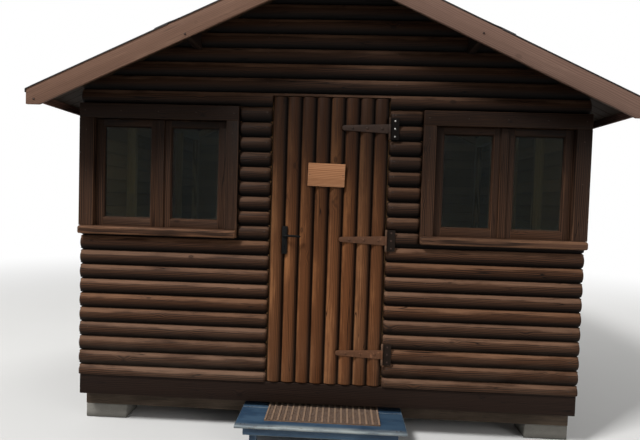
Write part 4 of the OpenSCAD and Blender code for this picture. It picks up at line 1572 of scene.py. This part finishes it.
@dataclass
class Walls:
    """Log walls, and the timber frame behind them.

    Attributes:
        door: Half the width of the doorway.
        door_top: Height of the doorway over the base.
        window: Distance from the middle to the windows.
        window_low: Height of their underside over the base.
        window_high: Height of their top over the base.
        peak: Height over the base to which gable boards go before they are sawn to the roof.
        eave: The same of the boards of a side wall.
        gap: Clearance of the boards round purlins and between walls.
    """

    door: float = 0.400
    door_top: float = 1.973
    window: float = 0.625
    window_low: float = 0.993
    window_high: float = 1.893
    peak: float = 2.85
    eave: float = 2.06
    gap: float = 0.0005

    def build(self) -> None:
        """Build the walls and their frame."""
        self.front()
        self.gable()
        self.back()
        self.sides()
        self.nails()
        for node in ("corner_posts", "opening_posts", "wall_studs", "front_rails", "wall_plates", "gable_rails",
                     "door_stops"):
            eased(node, FRAME_WOOD)

    def row(self, wood: Wood, length: float, low: float, high: float, seed: int,
            rounded: float = 0.024) -> tuple[Mesh, float]:
        """Make the log boards that cover a band of the wall.

        Args:
            wood: Their wood, whose cover tells the heights of the joints.
            length: Length of the boards.
            low: Foot of the band over the base.
            high: Top of the band over the base.
            seed: Seed of the chance.
            rounded: Radius of the rounded-over ends.

        Returns:
            The boards at the origin, and the height of the middle of the lowest one.
        """
        pitch, joint = wood.cover.pitch, wood.cover.start
        skip = math.floor((HUT.base + low - joint) / pitch + 1e-6)
        count = math.ceil((HUT.base + high - joint) / pitch - 1e-6) - skip
        row = Boards(half_round(pitch), length, count, pitch, rounded, seed=seed, dome=8 * rounded)
        return row.grow(wood), joint + (skip + 0.5) * pitch

    def front_band(self, wood: Wood, x0: float, x1: float, low: float, high: float, seed: int) -> Stock:
        """Lay log boards on the front between two places across and two heights over the base.

        Args:
            wood: Their wood.
            x0: Left end.
            x1: Right end.
            low: Foot over the base.
            high: Top over the base.
            seed: Seed of the chance.

        Returns:
            The boards.
        """
        row, middle = self.row(wood, x1 - x0, low, high, seed)
        stock = Stock().take(row, basis((x0, -HUT.depth, middle), (1, 0, 0), (0, 1, 0)))
        return stock.saw((0, 0, HUT.base + low), (0, 0, -1)).saw((0, 0, HUT.base + high), (0, 0, 1))

    def front(self) -> None:
        """Lay the boards below the windows, and the short ones between them and the doorway."""
        below, beside = (0.0, self.window_low), (self.window_low, self.window_high)
        for name, node, wood, x0, x1, band, seed in (
                ("logs_front_left", "front_wall_left", WALL_LOGS, -HUT.half, -self.door, below, 21),
                ("logs_front_right", "front_wall_right", RIGHT_LOGS, self.door, HUT.half, below, 22),
                ("logs_pier_left", "front_piers", WALL_LOGS, -self.window, -self.door, beside, 23),
                ("logs_pier_right", "front_piers", PIER_LOGS, self.door, self.window, beside, 24)):
            install(self.front_band(wood, x0, x1, *band, seed).mesh(), name, wood, node)

    def under_roof(self, stock: Stock) -> Stock:
        """Saw boards to the underside of the roof deck."""
        for side in (-1, 1):
            stock.saw((0.0, 0.0, HUT.under(0.0)), HUT.slope(side)[1])
        return stock

    def purlin_waste(self) -> list[Mesh]:
        """Make the waste of the notches for the ridge beam and the purlins.

        Returns:
            Boxes that are larger than the timbers by the gap.
        """
        half, x, past, over = HUT.timber + self.gap, HUT.purlin, 2.0, 3.4
        ridge = HUT.under(HUT.timber) - HUT.ridge_beam - self.gap
        low = HUT.under(x) - HUT.purlin_beam - self.gap
        spans = [(-half, half, ridge), (x - half, x + half, low), (-x - half, half - x, low)]
        return [box_mesh((x0, -past, bottom), (x1, past, over)) for x0, x1, bottom in spans]

    def gable(self) -> None:
        """Lay the boards of the front gable, notched over the doorway."""
        stock = self.under_roof(self.front_band(GABLE_LOGS, -HUT.half, HUT.half, self.window_high, self.peak, 25))
        doorway = box_mesh((-self.door, -2.0, 0.0), (self.door, 0.0, HUT.base + self.door_top))
        mesh = notched(stock.mesh(), [doorway, *self.purlin_waste()])
        install(mesh, "logs_front_gable", GABLE_LOGS, "front_gable")

    def back(self) -> None:
        """Lay the boards of the back wall."""
        row, middle = self.row(WALL_LOGS, 2 * HUT.half, 0.0, self.peak, 26)
        placed = basis((HUT.half, HUT.depth, middle), (-1, 0, 0), (0, -1, 0))
        stock = Stock().take(row, placed).saw((0, 0, HUT.base), (0, 0, -1))
        install(notched(self.under_roof(stock).mesh(), self.purlin_waste()), "logs_back", WALL_LOGS, "back_wall")

    def sides(self) -> None:
        """Lay the boards of both side walls, between front and back."""
        end = HUT.depth - HUT.cladding - self.gap
        for side, node in ((-1, "left_wall"), (1, "right_wall")):
            row, middle = self.row(WALL_LOGS, 2 * end, 0.0, self.eave, 27 + side, rounded=0.003)
            placed = basis((side * HUT.half, side * -end, middle), (0, side, 0), (-side, 0, 0))
            stock = Stock().take(row, placed).saw((0, 0, HUT.base), (0, 0, -1))
            install(self.under_roof(stock).mesh(), f"logs_{node}", WALL_LOGS, node)

    def nails(self) -> None:
        """Nail the boards to their posts and studs, a little over the crest."""
        rise, out, tilt, head_room = 0.016, 0.0022, 0.25, 0.05
        sill, head = HUT.base + self.window_low, HUT.base + self.window_high
        ridge = HUT.roof(0.0)
        posts = (-1.225, -0.596, 0.0, 0.596, 1.225)
        spots: list[Spot] = []

        def rows(wood: Wood, low: float, high: float) -> list[float]:
            """Return the heights of the nails between two heights."""
            heights = [wood.cover.start + wood.cover.pitch * (k - 0.5) + rise for k in range(30)]
            return [z for z in heights if low < z < high]

        def front_rows(wood: Wood, low: float, high: float, places: tuple[float, ...]) -> None:
            """Nail a band of the front at some places across it."""
            spots.extend(((x, -HUT.depth + out, z), (0.0, -1.0, tilt)) for z in rows(wood, low, high) for x in places
                         if z + head_room < HUT.under(x))

        for side, wood, pier in ((-1, WALL_LOGS, WALL_LOGS), (1, RIGHT_LOGS, PIER_LOGS)):
            front_rows(wood, HUT.base, sill, (side * 0.435, side * 0.674, side * 1.660))
            front_rows(pier, sill, head, (side * 0.435,))
            spots.extend(((side * (HUT.half - out), y, z), (float(side), 0.0, tilt))
                         for z in rows(WALL_LOGS, HUT.base, HUT.base + 1.95) for y in posts)
        front_rows(GABLE_LOGS, HUT.base + 2.0, ridge, (-1.2, -0.435, 0.435, 1.2))
        spots.extend(((x, HUT.depth - out, z), (0.0, 1.0, tilt)) for z in rows(WALL_LOGS, HUT.base, ridge)
                     for x in (-1.66, -HUT.purlin, 0.0, HUT.purlin, 1.66) if z + head_room < HUT.under(x))
        fasteners("log_nails", Head.NAIL, 0.0036, spots, DULL_NAIL, "front_wall_left")


@dataclass
class Roof:
    """Purlins, deck, felt, barge boards and fascias.

    Attributes:
        planks: Number of deck boards on a slope.
        sheet: Thickness of a sheet of felt.
        width: Width of a roll of felt.
        lap: How far one sheet laps over the next.
        drip: Depth of the turned-down edge.
        strip: Width of the ridge strip on one slope.
        gap: Gap between two layers that lie on each other.
        end: Distance from the ends of the deck's boards to the fascias.
        nail: Radius of a felt nail's head.
        nail_pitch: Spacing of the felt nails.
        nail_inset: Distance from an edge of the roof to its line of nails.
    """

    planks: int = 33
    sheet: float = 0.0042
    width: float = 1.0
    lap: float = 0.09
    drip: float = 0.022
    strip: float = 0.150
    gap: float = 0.0002
    end: float = 0.020
    nail: float = 0.0050
    nail_pitch: float = 0.065
    nail_inset: float = 0.030

    def build(self) -> None:
        """Build the roof."""
        eased("roof_purlins", PAINTED_SHADE_PURLINS)
        for side, name in ((-1, "left"), (1, "right")):
            self.planking(side, name)
            self.felt(side, name)
        self.cap()
        eased("barge_boards_front", BARGE_WOOD, 0.0025)
        eased("barge_boards_back", BARGE_WOOD, 0.0025)
        eased("eave_fascias", FASCIA_WOOD, 0.0025)
        self.screws()

    def planking(self, side: int, name: str) -> None:
        """Lay the deck boards of one slope, which run down it.

        Args:
            side: 1 on the right, -1 on the left.
            name: Name of the side.
        """
        pitch = 2 * HUT.deck / self.planks
        down, out = HUT.slope(side)
        edge, spare = HUT.overhang - self.end, 0.02
        row = Boards(flat_board(pitch, HUT.board - 0.0003, chamfer=0.003), edge / math.cos(HUT.pitch) + 2 * spare,
                     self.planks, pitch, rounded=0.001, drift=0.0004, slack=0.0001, seed=31 + side)
        start = Vector((0.0, side * (HUT.deck - pitch / 2), HUT.under(0.0) + self.gap))
        placed = basis(start - spare * Vector(down), down, out)
        stock = Stock().take(row.grow(PAINTED_SHADE_DECK), placed)
        stock.saw((self.gap * side, 0, 0), (-side, 0, 0)).saw((side * (edge - self.gap), 0, 0), (side, 0, 0))
        stock.saw((0, HUT.deck, 0), (0, 1, 0)).saw((0, -HUT.deck, 0), (0, -1, 0))
        install(stock.mesh(), f"deck_planks_{name}", PAINTED_SHADE_DECK, f"roof_deck_{name}")

    def sheet_mesh(self, path: list[Flat], thick: float, side: int, seed: int) -> Mesh:
        """Lay one sheet of felt, whose section is a path of distance from the middle and height.

        Args:
            path: The underside of the sheet, in order.
            thick: Thickness of the sheet.
            side: 1 on the right, -1 on the left, 0 over the ridge.
            seed: Seed of the chance.

        Returns:
            The mesh.
        """
        mirror, out = (-1.0 if side < 0 else 1.0), (-1.0 if side > 0 else 1.0)
        under = [Vector((mirror * x, z)) for x, z in path]
        over: list[Vector] = []
        for k, spot in enumerate(under):
            pairs = ((under[max(k - 1, 0)], spot), (spot, under[min(k + 1, len(under) - 1)]))
            ways = [(b - a).normalized() for a, b in pairs if a != b]
            way = sum(ways, Vector((0.0, 0.0))).normalized()
            normal = Vector((-way.y, way.x)) * out
            over.append(spot + normal * thick / max(0.6, normal.dot(Vector((-ways[0].y, ways[0].x)) * out)))
        section = under + over[::-1]
        end, steps, swell = HUT.verge + 0.005, 64, 0.0005
        waves = np.random.default_rng(seed).uniform(-swell, swell, (steps + 1, len(under)))
        waves[0] = waves[-1] = 0.0
        points, faces, n = [], [], len(section)
        for step in range(steps + 1):
            y = -end + 2 * end * step / steps
            lift = [*waves[step], *waves[step][::-1]]
            points += [(spot.x, y, spot.y + max(0.0, lift[k])) for k, spot in enumerate(section)]
        for step in range(steps):
            faces += ring_faces(step * n, (step + 1) * n, n)
        for first in (0, steps * n):
            faces += [(first + k, first + k + 1, first + n - 2 - k, first + n - 1 - k) for k in range(n // 2 - 1)]
        mesh = bpy.data.meshes.new("sheet")
        mesh.from_pydata(points, [], faces)
        return mesh

    def felt(self, side: int, name: str) -> None:
        """Lay the felt of one slope from the eave up, each sheet lapped over the one below, and nail it.

        Args:
            side: 1 on the right, -1 on the left.
            name: Name of the side.
        """
        run = math.cos(HUT.pitch)
        edge = HUT.overhang + 0.0003
        stock, spots = Stock(), []
        out = HUT.slope(side)[1]
        low, course = edge, 0
        while low > 0.0:
            high = max(0.0, low - self.width * run)
            xs = [low, low - 0.05, low - 0.09, low - 0.13, *np.linspace(low - 0.22, high + 0.02, 9), high]
            lap = self.sheet if course else 0.0
            lifts = [lap, lap, lap, lap * 0.35] + [0.0] * (len(xs) - 4)
            path = [(float(x), HUT.roof(x) + self.gap + lift / run) for x, lift in zip(xs, lifts)]
            if not course:
                corner = HUT.roof(edge)
                turned = [(edge, corner - self.drip), (edge, corner - 0.006), (edge - 0.0004, corner - 0.001)]
                path = [*turned, *path[1:]]
            stock.take(self.sheet_mesh(path, self.sheet, side, 40 + course + side))
            line = low - 0.022 * run
            if course:
                spots += self.nail_line(side, line, 2 * self.sheet)
            low = high + self.lap * run if high > 0.0 else 0.0
            course += 1
        install(stock.mesh(), f"felt_sheets_{name}", FELT, f"roof_felt_{name}")
        line, verge = HUT.overhang - self.nail_inset, HUT.verge - 0.018
        for y in (-verge, verge):
            spots += [((side * x, y, HUT.roof(x) + self.sheet / run), out) for x in np.arange(0.20, line, 0.075)]
        spots += self.nail_line(side, line, self.sheet)
        fasteners(f"felt_nails_{name}", Head.NAIL, self.nail, spots, CLOUT, f"roof_felt_{name}")

    def nail_line(self, side: int, x: float, thick: float) -> list[Spot]:
        """Place a line of nails from front to back.

        Args:
            side: 1 on the right, -1 on the left.
            x: Distance of the line from the middle.
            thick: Thickness of the felt there.

        Returns:
            The places and the way they face.
        """
        chance = np.random.default_rng(round(1000 * x))
        z, out = HUT.roof(x) + thick / math.cos(HUT.pitch), HUT.slope(side)[1]
        spots: list[Spot] = []
        for y in np.arange(-HUT.verge + self.nail_inset, HUT.verge - 0.02, self.nail_pitch):
            aside = float(chance.uniform(-0.003, 0.003))
            spots.append(((side * (x + aside), float(y + chance.uniform(-0.008, 0.008)), z), out))
        return spots

    def cap(self) -> None:
        """Fold a strip of felt over the ridge and nail it."""
        run = math.cos(HUT.pitch)
        reach, gap, dip = self.strip * run, 0.0006, 0.0012
        over = HUT.roof(0.0) + (self.sheet + gap) / run
        half = [0.007, 0.02, reach * 0.35, reach * 0.7, reach]
        xs = [*(-x for x in half[::-1]), 0.0, *half]
        path = [(x, over - abs(x) * math.tan(HUT.pitch) - (0.0 if x else dip)) for x in xs]
        mesh = Stock().take(self.sheet_mesh(path, self.sheet, 0, 49)).mesh()
        install(mesh, "ridge_strip", FELT, "ridge_cap", crease=60.0)
        spots = [spot for side in (-1, 1) for spot in self.nail_line(side, reach - 0.02, 2 * self.sheet + gap)]
        fasteners("ridge_nails", Head.NAIL, self.nail, spots, CLOUT, "ridge_cap")

    def screws(self) -> None:
        """Screw the barge boards to the ridge beam, the purlins and the eaves."""
        face = HUT.verge + self.gap
        places = ((-1.886, 0.088), (-HUT.purlin, 0.111), (-0.030, 0.07), (0.030, 0.07), (HUT.purlin, 0.075),
                  (1.886, 0.05))
        spots = [((x, way * face, HUT.roof(x) - down), (0.0, way, 0.0)) for way in (-1.0, 1.0) for x, down in places]
        fasteners("barge_screws", Head.BOLT, 0.0075, spots, RUSTY_NAIL, "barge_boards_front")


@dataclass
class Windows:
    """Casings, sashes, beads and glass.

    Attributes:
        panes: Left and right edge of each pane on the right-hand side.
        low: Lower edge of the panes.
        high: Upper edge of the panes.
        front: Front of the sashes.
        glass: Front and back of the glass.
        bead: Width of the beads that hold the glass.
        casing: Front of the casings.
    """

    panes: tuple[Flat, ...] = ((0.764, 1.102), (1.237, 1.575))
    low: float = 1.456
    high: float = 2.099
    front: float = -1.275
    glass: Flat = (-1.2545, -1.2505)
    bead: float = 0.010
    casing: float = -1.3122

    def build(self) -> None:
        """Build the windows."""
        eased("window_heads", TRIM_WOOD, 0.003)
        eased("window_sills", TRIM_WOOD, 0.013, 4)
        eased("window_jambs", TRIM_WOOD, 0.003)
        eased("sash_stiles", TRIM_WOOD)
        eased("sash_rails", TRIM_WOOD)
        eased("window_cover_strips", TRIM_WOOD, 0.003)
        GLASS.dress(frame["nodes"]["window_glass"])
        self.beads()
        self.nails()

    def beads(self) -> None:
        """Fit mitred beads round each pane, outside and inside."""
        gap, flat, lip, (front, back) = 0.0003, 0.003, 0.004, self.glass
        sash, room = self.front + 0.002, back + 0.016
        outside = [(0.0, sash), (flat, sash), (self.bead, front - lip), (self.bead, front - gap), (0.0, front - gap)]
        inside = [(0.0, back + gap), (self.bead, back + gap), (self.bead, back + lip), (flat, room), (0.0, room)]
        points: list[Point] = []
        faces: list[tuple[int, ...]] = []
        for side in (-1, 1):
            for x0, x1 in self.panes:
                left, right = sorted((side * x0, side * x1))
                edges = (left + gap, right - gap, self.low + gap, self.high - gap)
                for section in (outside, inside):
                    self.mitred(points, faces, edges, section)
        mesh = bpy.data.meshes.new("beads")
        mesh.from_pydata(points, [], faces)
        install(Stock().take(mesh).mesh(), "glazing_beads", TRIM_WOOD, "sash_rails", stands_for=False)

    def mitred(self, points: list[Point], faces: list[tuple[int, ...]], edges: tuple[float, float, float, float],
               section: list[Flat]) -> None:
        """Add one closed bead of four mitred lengths.

        Args:
            points: The points so far, which are added to.
            faces: The faces so far, which are added to.
            edges: Left, right, lower and upper edge of its outside.
            section: Inset and depth of its outline.
        """
        x0, x1, z0, z1 = edges
        first, n = len(points), len(section)
        for sx, sz in ((0, 0), (1, 0), (1, 1), (0, 1)):
            for inset, y in section:
                points.append((x1 - inset if sx else x0 + inset, y, z1 - inset if sz else z0 + inset))
        for corner in range(4):
            faces += ring_faces(first + corner * n, first + (corner + 1) % 4 * n, n)

    def nails(self) -> None:
        """Nail the casings."""
        jambs = [(side * x, z) for side in (-1, 1) for x in (0.667, 1.680) for z in (1.48, 1.78, 2.06)]
        heads = [(side * x, 2.195) for side in (-1, 1) for x in (0.66, 0.92, 1.18, 1.44, 1.69)]
        spots = [((x, self.casing, z), TO_FRONT) for x, z in jambs + heads]
        fasteners("casing_nails", Head.NAIL, 0.0034, spots, DULL_NAIL, "window_heads")


@dataclass
class Door:
    """Door leaf with its ledges, hinges, latch and sign plate.

    Attributes:
        edge: Half the width of the leaf.
        low: Foot of the leaf.
        length: Height of the leaf.
        boards: Number of its half-round boards.
        hinges: Heights of the hinges.
        latch_x: Middle of the latch plate across.
        latch_z: Middle of the latch plate.
        lever_z: Height of the levers.
        inside: Face of the plate inside.
        plate_half: Half the width of both plates.
        plate_t: Thickness of the inside plate, which lies on the middle ledge.
        corner: Radius of the corners of both plates.
        sign: Place across and height of the middle of the sign plate, and its tilt in radians.
    """

    edge: float = 0.395
    low: float = 0.357
    length: float = 1.963
    boards: int = 8
    hinges: tuple[float, ...] = (0.581, 1.362, 2.117)
    latch_x: float = -0.292
    latch_z: float = 1.344
    lever_z: float = 1.376
    inside: float = -1.233
    plate_half: float = 0.018
    plate_t: float = 0.0038
    corner: float = 0.006
    sign: Point = (-0.019, 1.795, math.radians(1.2))

    def build(self) -> None:
        """Build the door."""
        self.leaf()
        eased("door_ledges", LEDGE_WOOD, 0.0025)
        eased("hinge_straps", STRAP_PAINT, 0.0008)
        eased("hinge_leaves", LEAF_IRON, 0.0008)
        self.fixings()
        self.latch()
        eased("sign_plate", SIGN_WOOD, 0.0015)

    def leaf(self) -> None:
        """Lay the half-round boards upright and let the lock case into them."""
        pitch = 2 * self.edge / self.boards
        row = Boards(half_round(pitch), self.length, self.boards, pitch, rounded=0.007, drift=0.0008, slack=0.0004,
                     seed=61)
        placed = basis((self.edge - pitch / 2, -HUT.depth, self.low), (0, 0, 1), (0, 1, 0))
        stock = Stock().take(row.grow(DOOR_WOOD), placed)
        stock.saw((self.edge, 0, 0), (1, 0, 0)).saw((-self.edge, 0, 0), (-1, 0, 0))
        x, z, half, rise = self.latch_x, self.latch_z, 0.0185, 0.0955
        pocket = box_mesh((x - half, -1.4, z - rise), (x + half, -1.2835, z + rise))
        install(notched(stock.mesh(), [pocket]), "door_leaf", DOOR_WOOD, "door_boards")

    def fixings(self) -> None:
        """Bolt the straps to the boards, screw the leaves to the posts and the ledges to the boards."""
        face = -HUT.depth - 0.0042
        bolts = [((x, face, z), TO_FRONT) for z in self.hinges for x in (0.346, 0.247, 0.148)]
        fasteners("strap_bolts", Head.BOLT, 0.0085, bolts, STRAP_PAINT, "hinge_straps")
        for name, heights, finish in (("new", self.hinges[2:], BRIGHT_STEEL), ("old", self.hinges[:2], RUSTY_NAIL)):
            screws = [((0.433, face, z + rise), TO_FRONT) for z in heights for rise in (-0.052, 0.0, 0.052)]
            fasteners(f"leaf_screws_{name}", Head.SCREW, 0.0062, screws, finish, "hinge_leaves")
        # Each board has a screw at both edges of a ledge, but none behind the inside lever.
        pitch = 2 * self.edge / self.boards
        middles = [pitch * (k + 0.5) - self.edge for k in range(self.boards)]
        backs = [((x, self.inside - self.plate_t, z + rise), TO_BACK)
                 for z in self.hinges for x in middles for rise in (-0.035, 0.035)
                 if (x, z) != (middles[1], self.hinges[1])]
        fasteners("ledge_screws", Head.SCREW, 0.0045, backs, DULL_NAIL, "door_ledges")
        middle, height, tilt = self.sign
        pins = [((middle + x * math.cos(tilt), -1.3092, height - x * math.sin(tilt)), TO_FRONT)
                for x in (-0.112, 0.112)]
        fasteners("plate_pins", Head.NAIL, 0.0030, pins, DULL_NAIL, "sign_plate")

    def plate(self, low: Point, high: Point) -> Mesh:
        """Make an upright plate with rounded corners and eased edges.

        Args:
            low: Lowest corner.
            high: Highest corner.

        Returns:
            The mesh.
        """
        work = bmesh.new()
        work.from_mesh(box_mesh(low, high))
        across = [e for e in work.edges if abs(e.verts[0].co.y - e.verts[1].co.y) > 1e-4]
        bmesh.ops.bevel(work, geom=across, offset=self.corner, segments=5, profile=0.5, affect="EDGES")
        rims = [e for e in work.edges if len(e.link_faces) == 2 and e.calc_face_angle() > 1.2]
        bmesh.ops.bevel(work, geom=rims, offset=0.0014, segments=2, profile=0.5, affect="EDGES")
        return finished(work, "plate")

    def tube(self, path: list[Point], radii: list[float]) -> Mesh:
        """Sweep a round bar along a path and close its ends.

        Args:
            path: Points of its middle.
            radii: Radius at each point.

        Returns:
            The mesh.
        """
        curve = bpy.data.curves.new("bar", "CURVE")
        curve.dimensions, curve.use_fill_caps = "3D", True
        curve.bevel_depth, curve.bevel_resolution, curve.resolution_u = 1.0, 5, 6
        spline = curve.splines.new("BEZIER")
        spline.bezier_points.add(len(path) - 1)
        for point, spot, radius in zip(spline.bezier_points, path, radii):
            point.co, point.radius = spot, radius
            point.handle_left_type = point.handle_right_type = "AUTO"
        holder = put("bar", curve)
        graph = bpy.context.evaluated_depsgraph_get()
        made = bpy.data.meshes.new_from_object(holder.evaluated_get(graph))
        bpy.data.objects.remove(holder)
        bpy.data.curves.remove(curve)
        return made

    def lever(self, face: float, way: float) -> Stock:
        """Make a lever with its rose, standing out from a face.

        Args:
            face: Place of the face along Y.
            way: -1 for out, 1 for in.

        Returns:
            The parts.
        """
        # Place along, out of the face and down from the middle of the rose, and radius.
        bar = ((0.0, -0.003, 0.0, 0.0080), (0.0, 0.012, 0.0, 0.0068), (0.0, 0.026, 0.0, 0.0072),
               (0.008, 0.0305, 0.0, 0.0078), (0.030, 0.031, 0.0, 0.0078), (0.070, 0.0305, 0.001, 0.0074),
               (0.104, 0.028, 0.003, 0.0066), (0.110, 0.0265, 0.0036, 0.0038))
        rose = ((0.0, -0.001, 0.0, 0.0150), (0.0, 0.0035, 0.0, 0.0150), (0.0, 0.005, 0.0, 0.0115))
        stock = Stock()
        for rows in (bar, rose):
            path = [(self.latch_x + along, face + out * way, self.lever_z - down) for along, out, down, _ in rows]
            stock.take(self.tube(path, [row[3] for row in rows]))
        return stock

    def latch(self) -> None:
        """Make the latch: a long plate with a lever and a keyhole outside, a short plate with a lever inside."""
        x, z, middle, half = self.latch_x, self.latch_z, self.hinges[1], self.plate_half
        face, proud = -HUT.depth - 0.005, 0.0002
        case = self.plate((x - half, face, z - 0.095), (x + half, -1.284, z + 0.095))
        key, hole_r, slot_half, slot_low = z - 0.036, 0.0045, 0.0022, z - 0.052
        hole = self.tube([(x, face - 0.01, key), (x, face + 0.008, key)], [hole_r, hole_r])
        slot = box_mesh((x - slot_half, face - 0.01, slot_low), (x + slot_half, face + 0.008, key))
        stock = Stock().take(notched(case, [hole, slot])).take(self.lever(face, -1.0).mesh())
        stock.take(self.plate((x - half, self.inside - self.plate_t, middle - 0.060),
                              (x + half, self.inside, middle + 0.060)))
        stock.take(self.lever(self.inside, 1.0).mesh())
        install(stock.mesh(), "latch_with_levers", BLACK_IRON, "door_handle", crease=40.0)
        screws = [((x, face - proud, z + rise), TO_FRONT) for rise in (-0.084, 0.084)]
        screws += [((x, self.inside + proud, middle + rise), TO_BACK) for rise in (-0.048, 0.048)]
        fasteners("latch_screws", Head.SCREW, 0.0042, screws, BLACK_IRON, "door_handle")


@dataclass
class Step:
    """Painted step with its mat.

    Attributes:
        top: Height of the step.
        density: Tufts on a square metre of the mat.
        tuft: Height of a tuft.
        tuft_r: Radius of its foot.
        lean: How far tufts lean over.
    """

    top: float = 0.175
    density: float = 26000.0
    tuft: float = 0.0042
    tuft_r: float = 0.0017
    lean: float = 0.45

    def build(self) -> None:
        """Build the step."""
        eased("step_top", STEP_PAINT, 0.0015)
        eased("step_frame", STEP_PAINT)
        spots = [((side * x, y, self.top), UP) for side in (-1, 1) for x in (0.486, 0.512) for y in (-1.568, -1.302)]
        fasteners("step_screws", Head.SCREW, 0.0045, spots, DULL_NAIL, "step_top")
        pile = pile_tree().grow(node_mesh("step_mat"), MAT_FIBRE, density=self.density, height=self.tuft,
                                width=self.tuft_r, lean=self.lean, seed=71)
        install(pile, "ribbed_mat", MAT_FIBRE, "step_mat")


@dataclass
class Studio:
    """Camera, floor and light.

    Attributes:
        eye: Place of the camera.
        turn: Turn of the camera to the left, in radians.
        dip: Tilt of the camera down, in radians.
        roll: Roll of the picture, in radians.
        focal: Focal length over the width of the frame.
        floor_side: Side of the square floor.
        daylight: Strength of the light from all round.
        lamps: Name, place, side and power in watts of each square lamp.
        aim: The point that all lamps face.
    """

    eye: Point = (0.0905, -4.7192, 1.6192)
    turn: float = 0.0421
    dip: float = 0.0380
    roll: float = 0.0308
    focal: float = 502.69 / 640
    floor_side: float = 60.0
    daylight: float = 0.30
    lamps: tuple[tuple[str, Point, float, float], ...] = (
        ("key_lamp", (-6.8, -7.4, 12.2), 3.0, 2750.0), ("fill_lamp", (8.5, -8.5, 4.5), 5.0, 300.0),
        ("back_lamp", (3.5, 9.0, 8.0), 5.0, 700.0))
    aim: Point = (0.0, -1.2, 1.2)

    def build(self) -> None:
        """Set up the studio."""
        self.camera()
        self.floor()
        self.sky()
        for name, place, side, watts in self.lamps:
            self.lamp(name, place, side, watts)
        bpy.context.scene.view_settings.view_transform = "Standard"

    def camera(self) -> None:
        """Place the camera at the photograph's viewpoint."""
        flat = math.cos(self.dip)
        ahead = Vector((-math.sin(self.turn) * flat, math.cos(self.turn) * flat, -math.sin(self.dip)))
        level = Vector((math.cos(self.turn), math.sin(self.turn), 0.0))
        down = ahead.cross(level)
        right = math.cos(self.roll) * level - math.sin(self.roll) * down
        up = -(math.sin(self.roll) * level + math.cos(self.roll) * down)
        data = bpy.data.cameras.new("camera")
        data.sensor_width = 36.0
        data.lens = data.sensor_width * self.focal
        camera = put("camera", data)
        camera.matrix_world = Matrix.Translation(self.eye) @ Matrix((right, up, -ahead)).transposed().to_4x4()
        bpy.context.scene.camera = camera

    def floor(self) -> None:
        """Lay the floor at ground level."""
        half = self.floor_side / 2
        mesh = bpy.data.meshes.new("studio_floor")
        mesh.from_pydata([(-half, -half, 0), (half, -half, 0), (half, half, 0), (-half, half, 0)], [], [(0, 1, 2, 3)])
        floor = put("studio_floor", mesh)
        PaleFloor("pale_floor", (0.55, 0.546, 0.535)).dress(floor)

    def sky(self) -> None:
        """Light the scene from all round, with a white backdrop for the camera."""
        world = bpy.data.worlds.new("studio_light")
        world.use_nodes = True
        world.node_tree.nodes.clear()
        g = Graph(world.node_tree)
        light = g.add("ShaderNodeBackground", {"Color": (1.0, 1.0, 1.0), "Strength": self.daylight})
        backdrop = g.add("ShaderNodeBackground", {"Color": (1.0, 1.0, 1.0), "Strength": 1.0})
        mix = g.add("ShaderNodeMixShader", {0: seen_ray(g), 1: light.outputs[0], 2: backdrop.outputs[0]})
        g.add("ShaderNodeOutputWorld", {"Surface": mix.outputs[0]})
        bpy.context.scene.world = world

    def lamp(self, name: str, place: Point, side: float, watts: float) -> None:
        """Hang a square lamp that points at the hut.

        Args:
            name: Name of the lamp.
            place: Where it hangs.
            side: Side of the square.
            watts: Its power.
        """
        data = bpy.data.lights.new(name, "AREA")
        data.size, data.energy = side, watts
        lamp = put(name, data)
        lamp.location = place
        lamp.rotation_euler = (Vector(self.aim) - Vector(place)).to_track_quat("-Z", "Y").to_euler()


def main() -> None:
    """Build the hut's looks piece by piece, and log each part as it is built."""
    logging.basicConfig(level=logging.INFO, format="%(name)s: %(message)s")
    for part in (Studio(), Base(), Walls(), Roof(), Windows(), Door(), Step()):
        part.build()
        LOG.info("%s built", type(part).__name__)


if __name__ == "__main__":
    main()
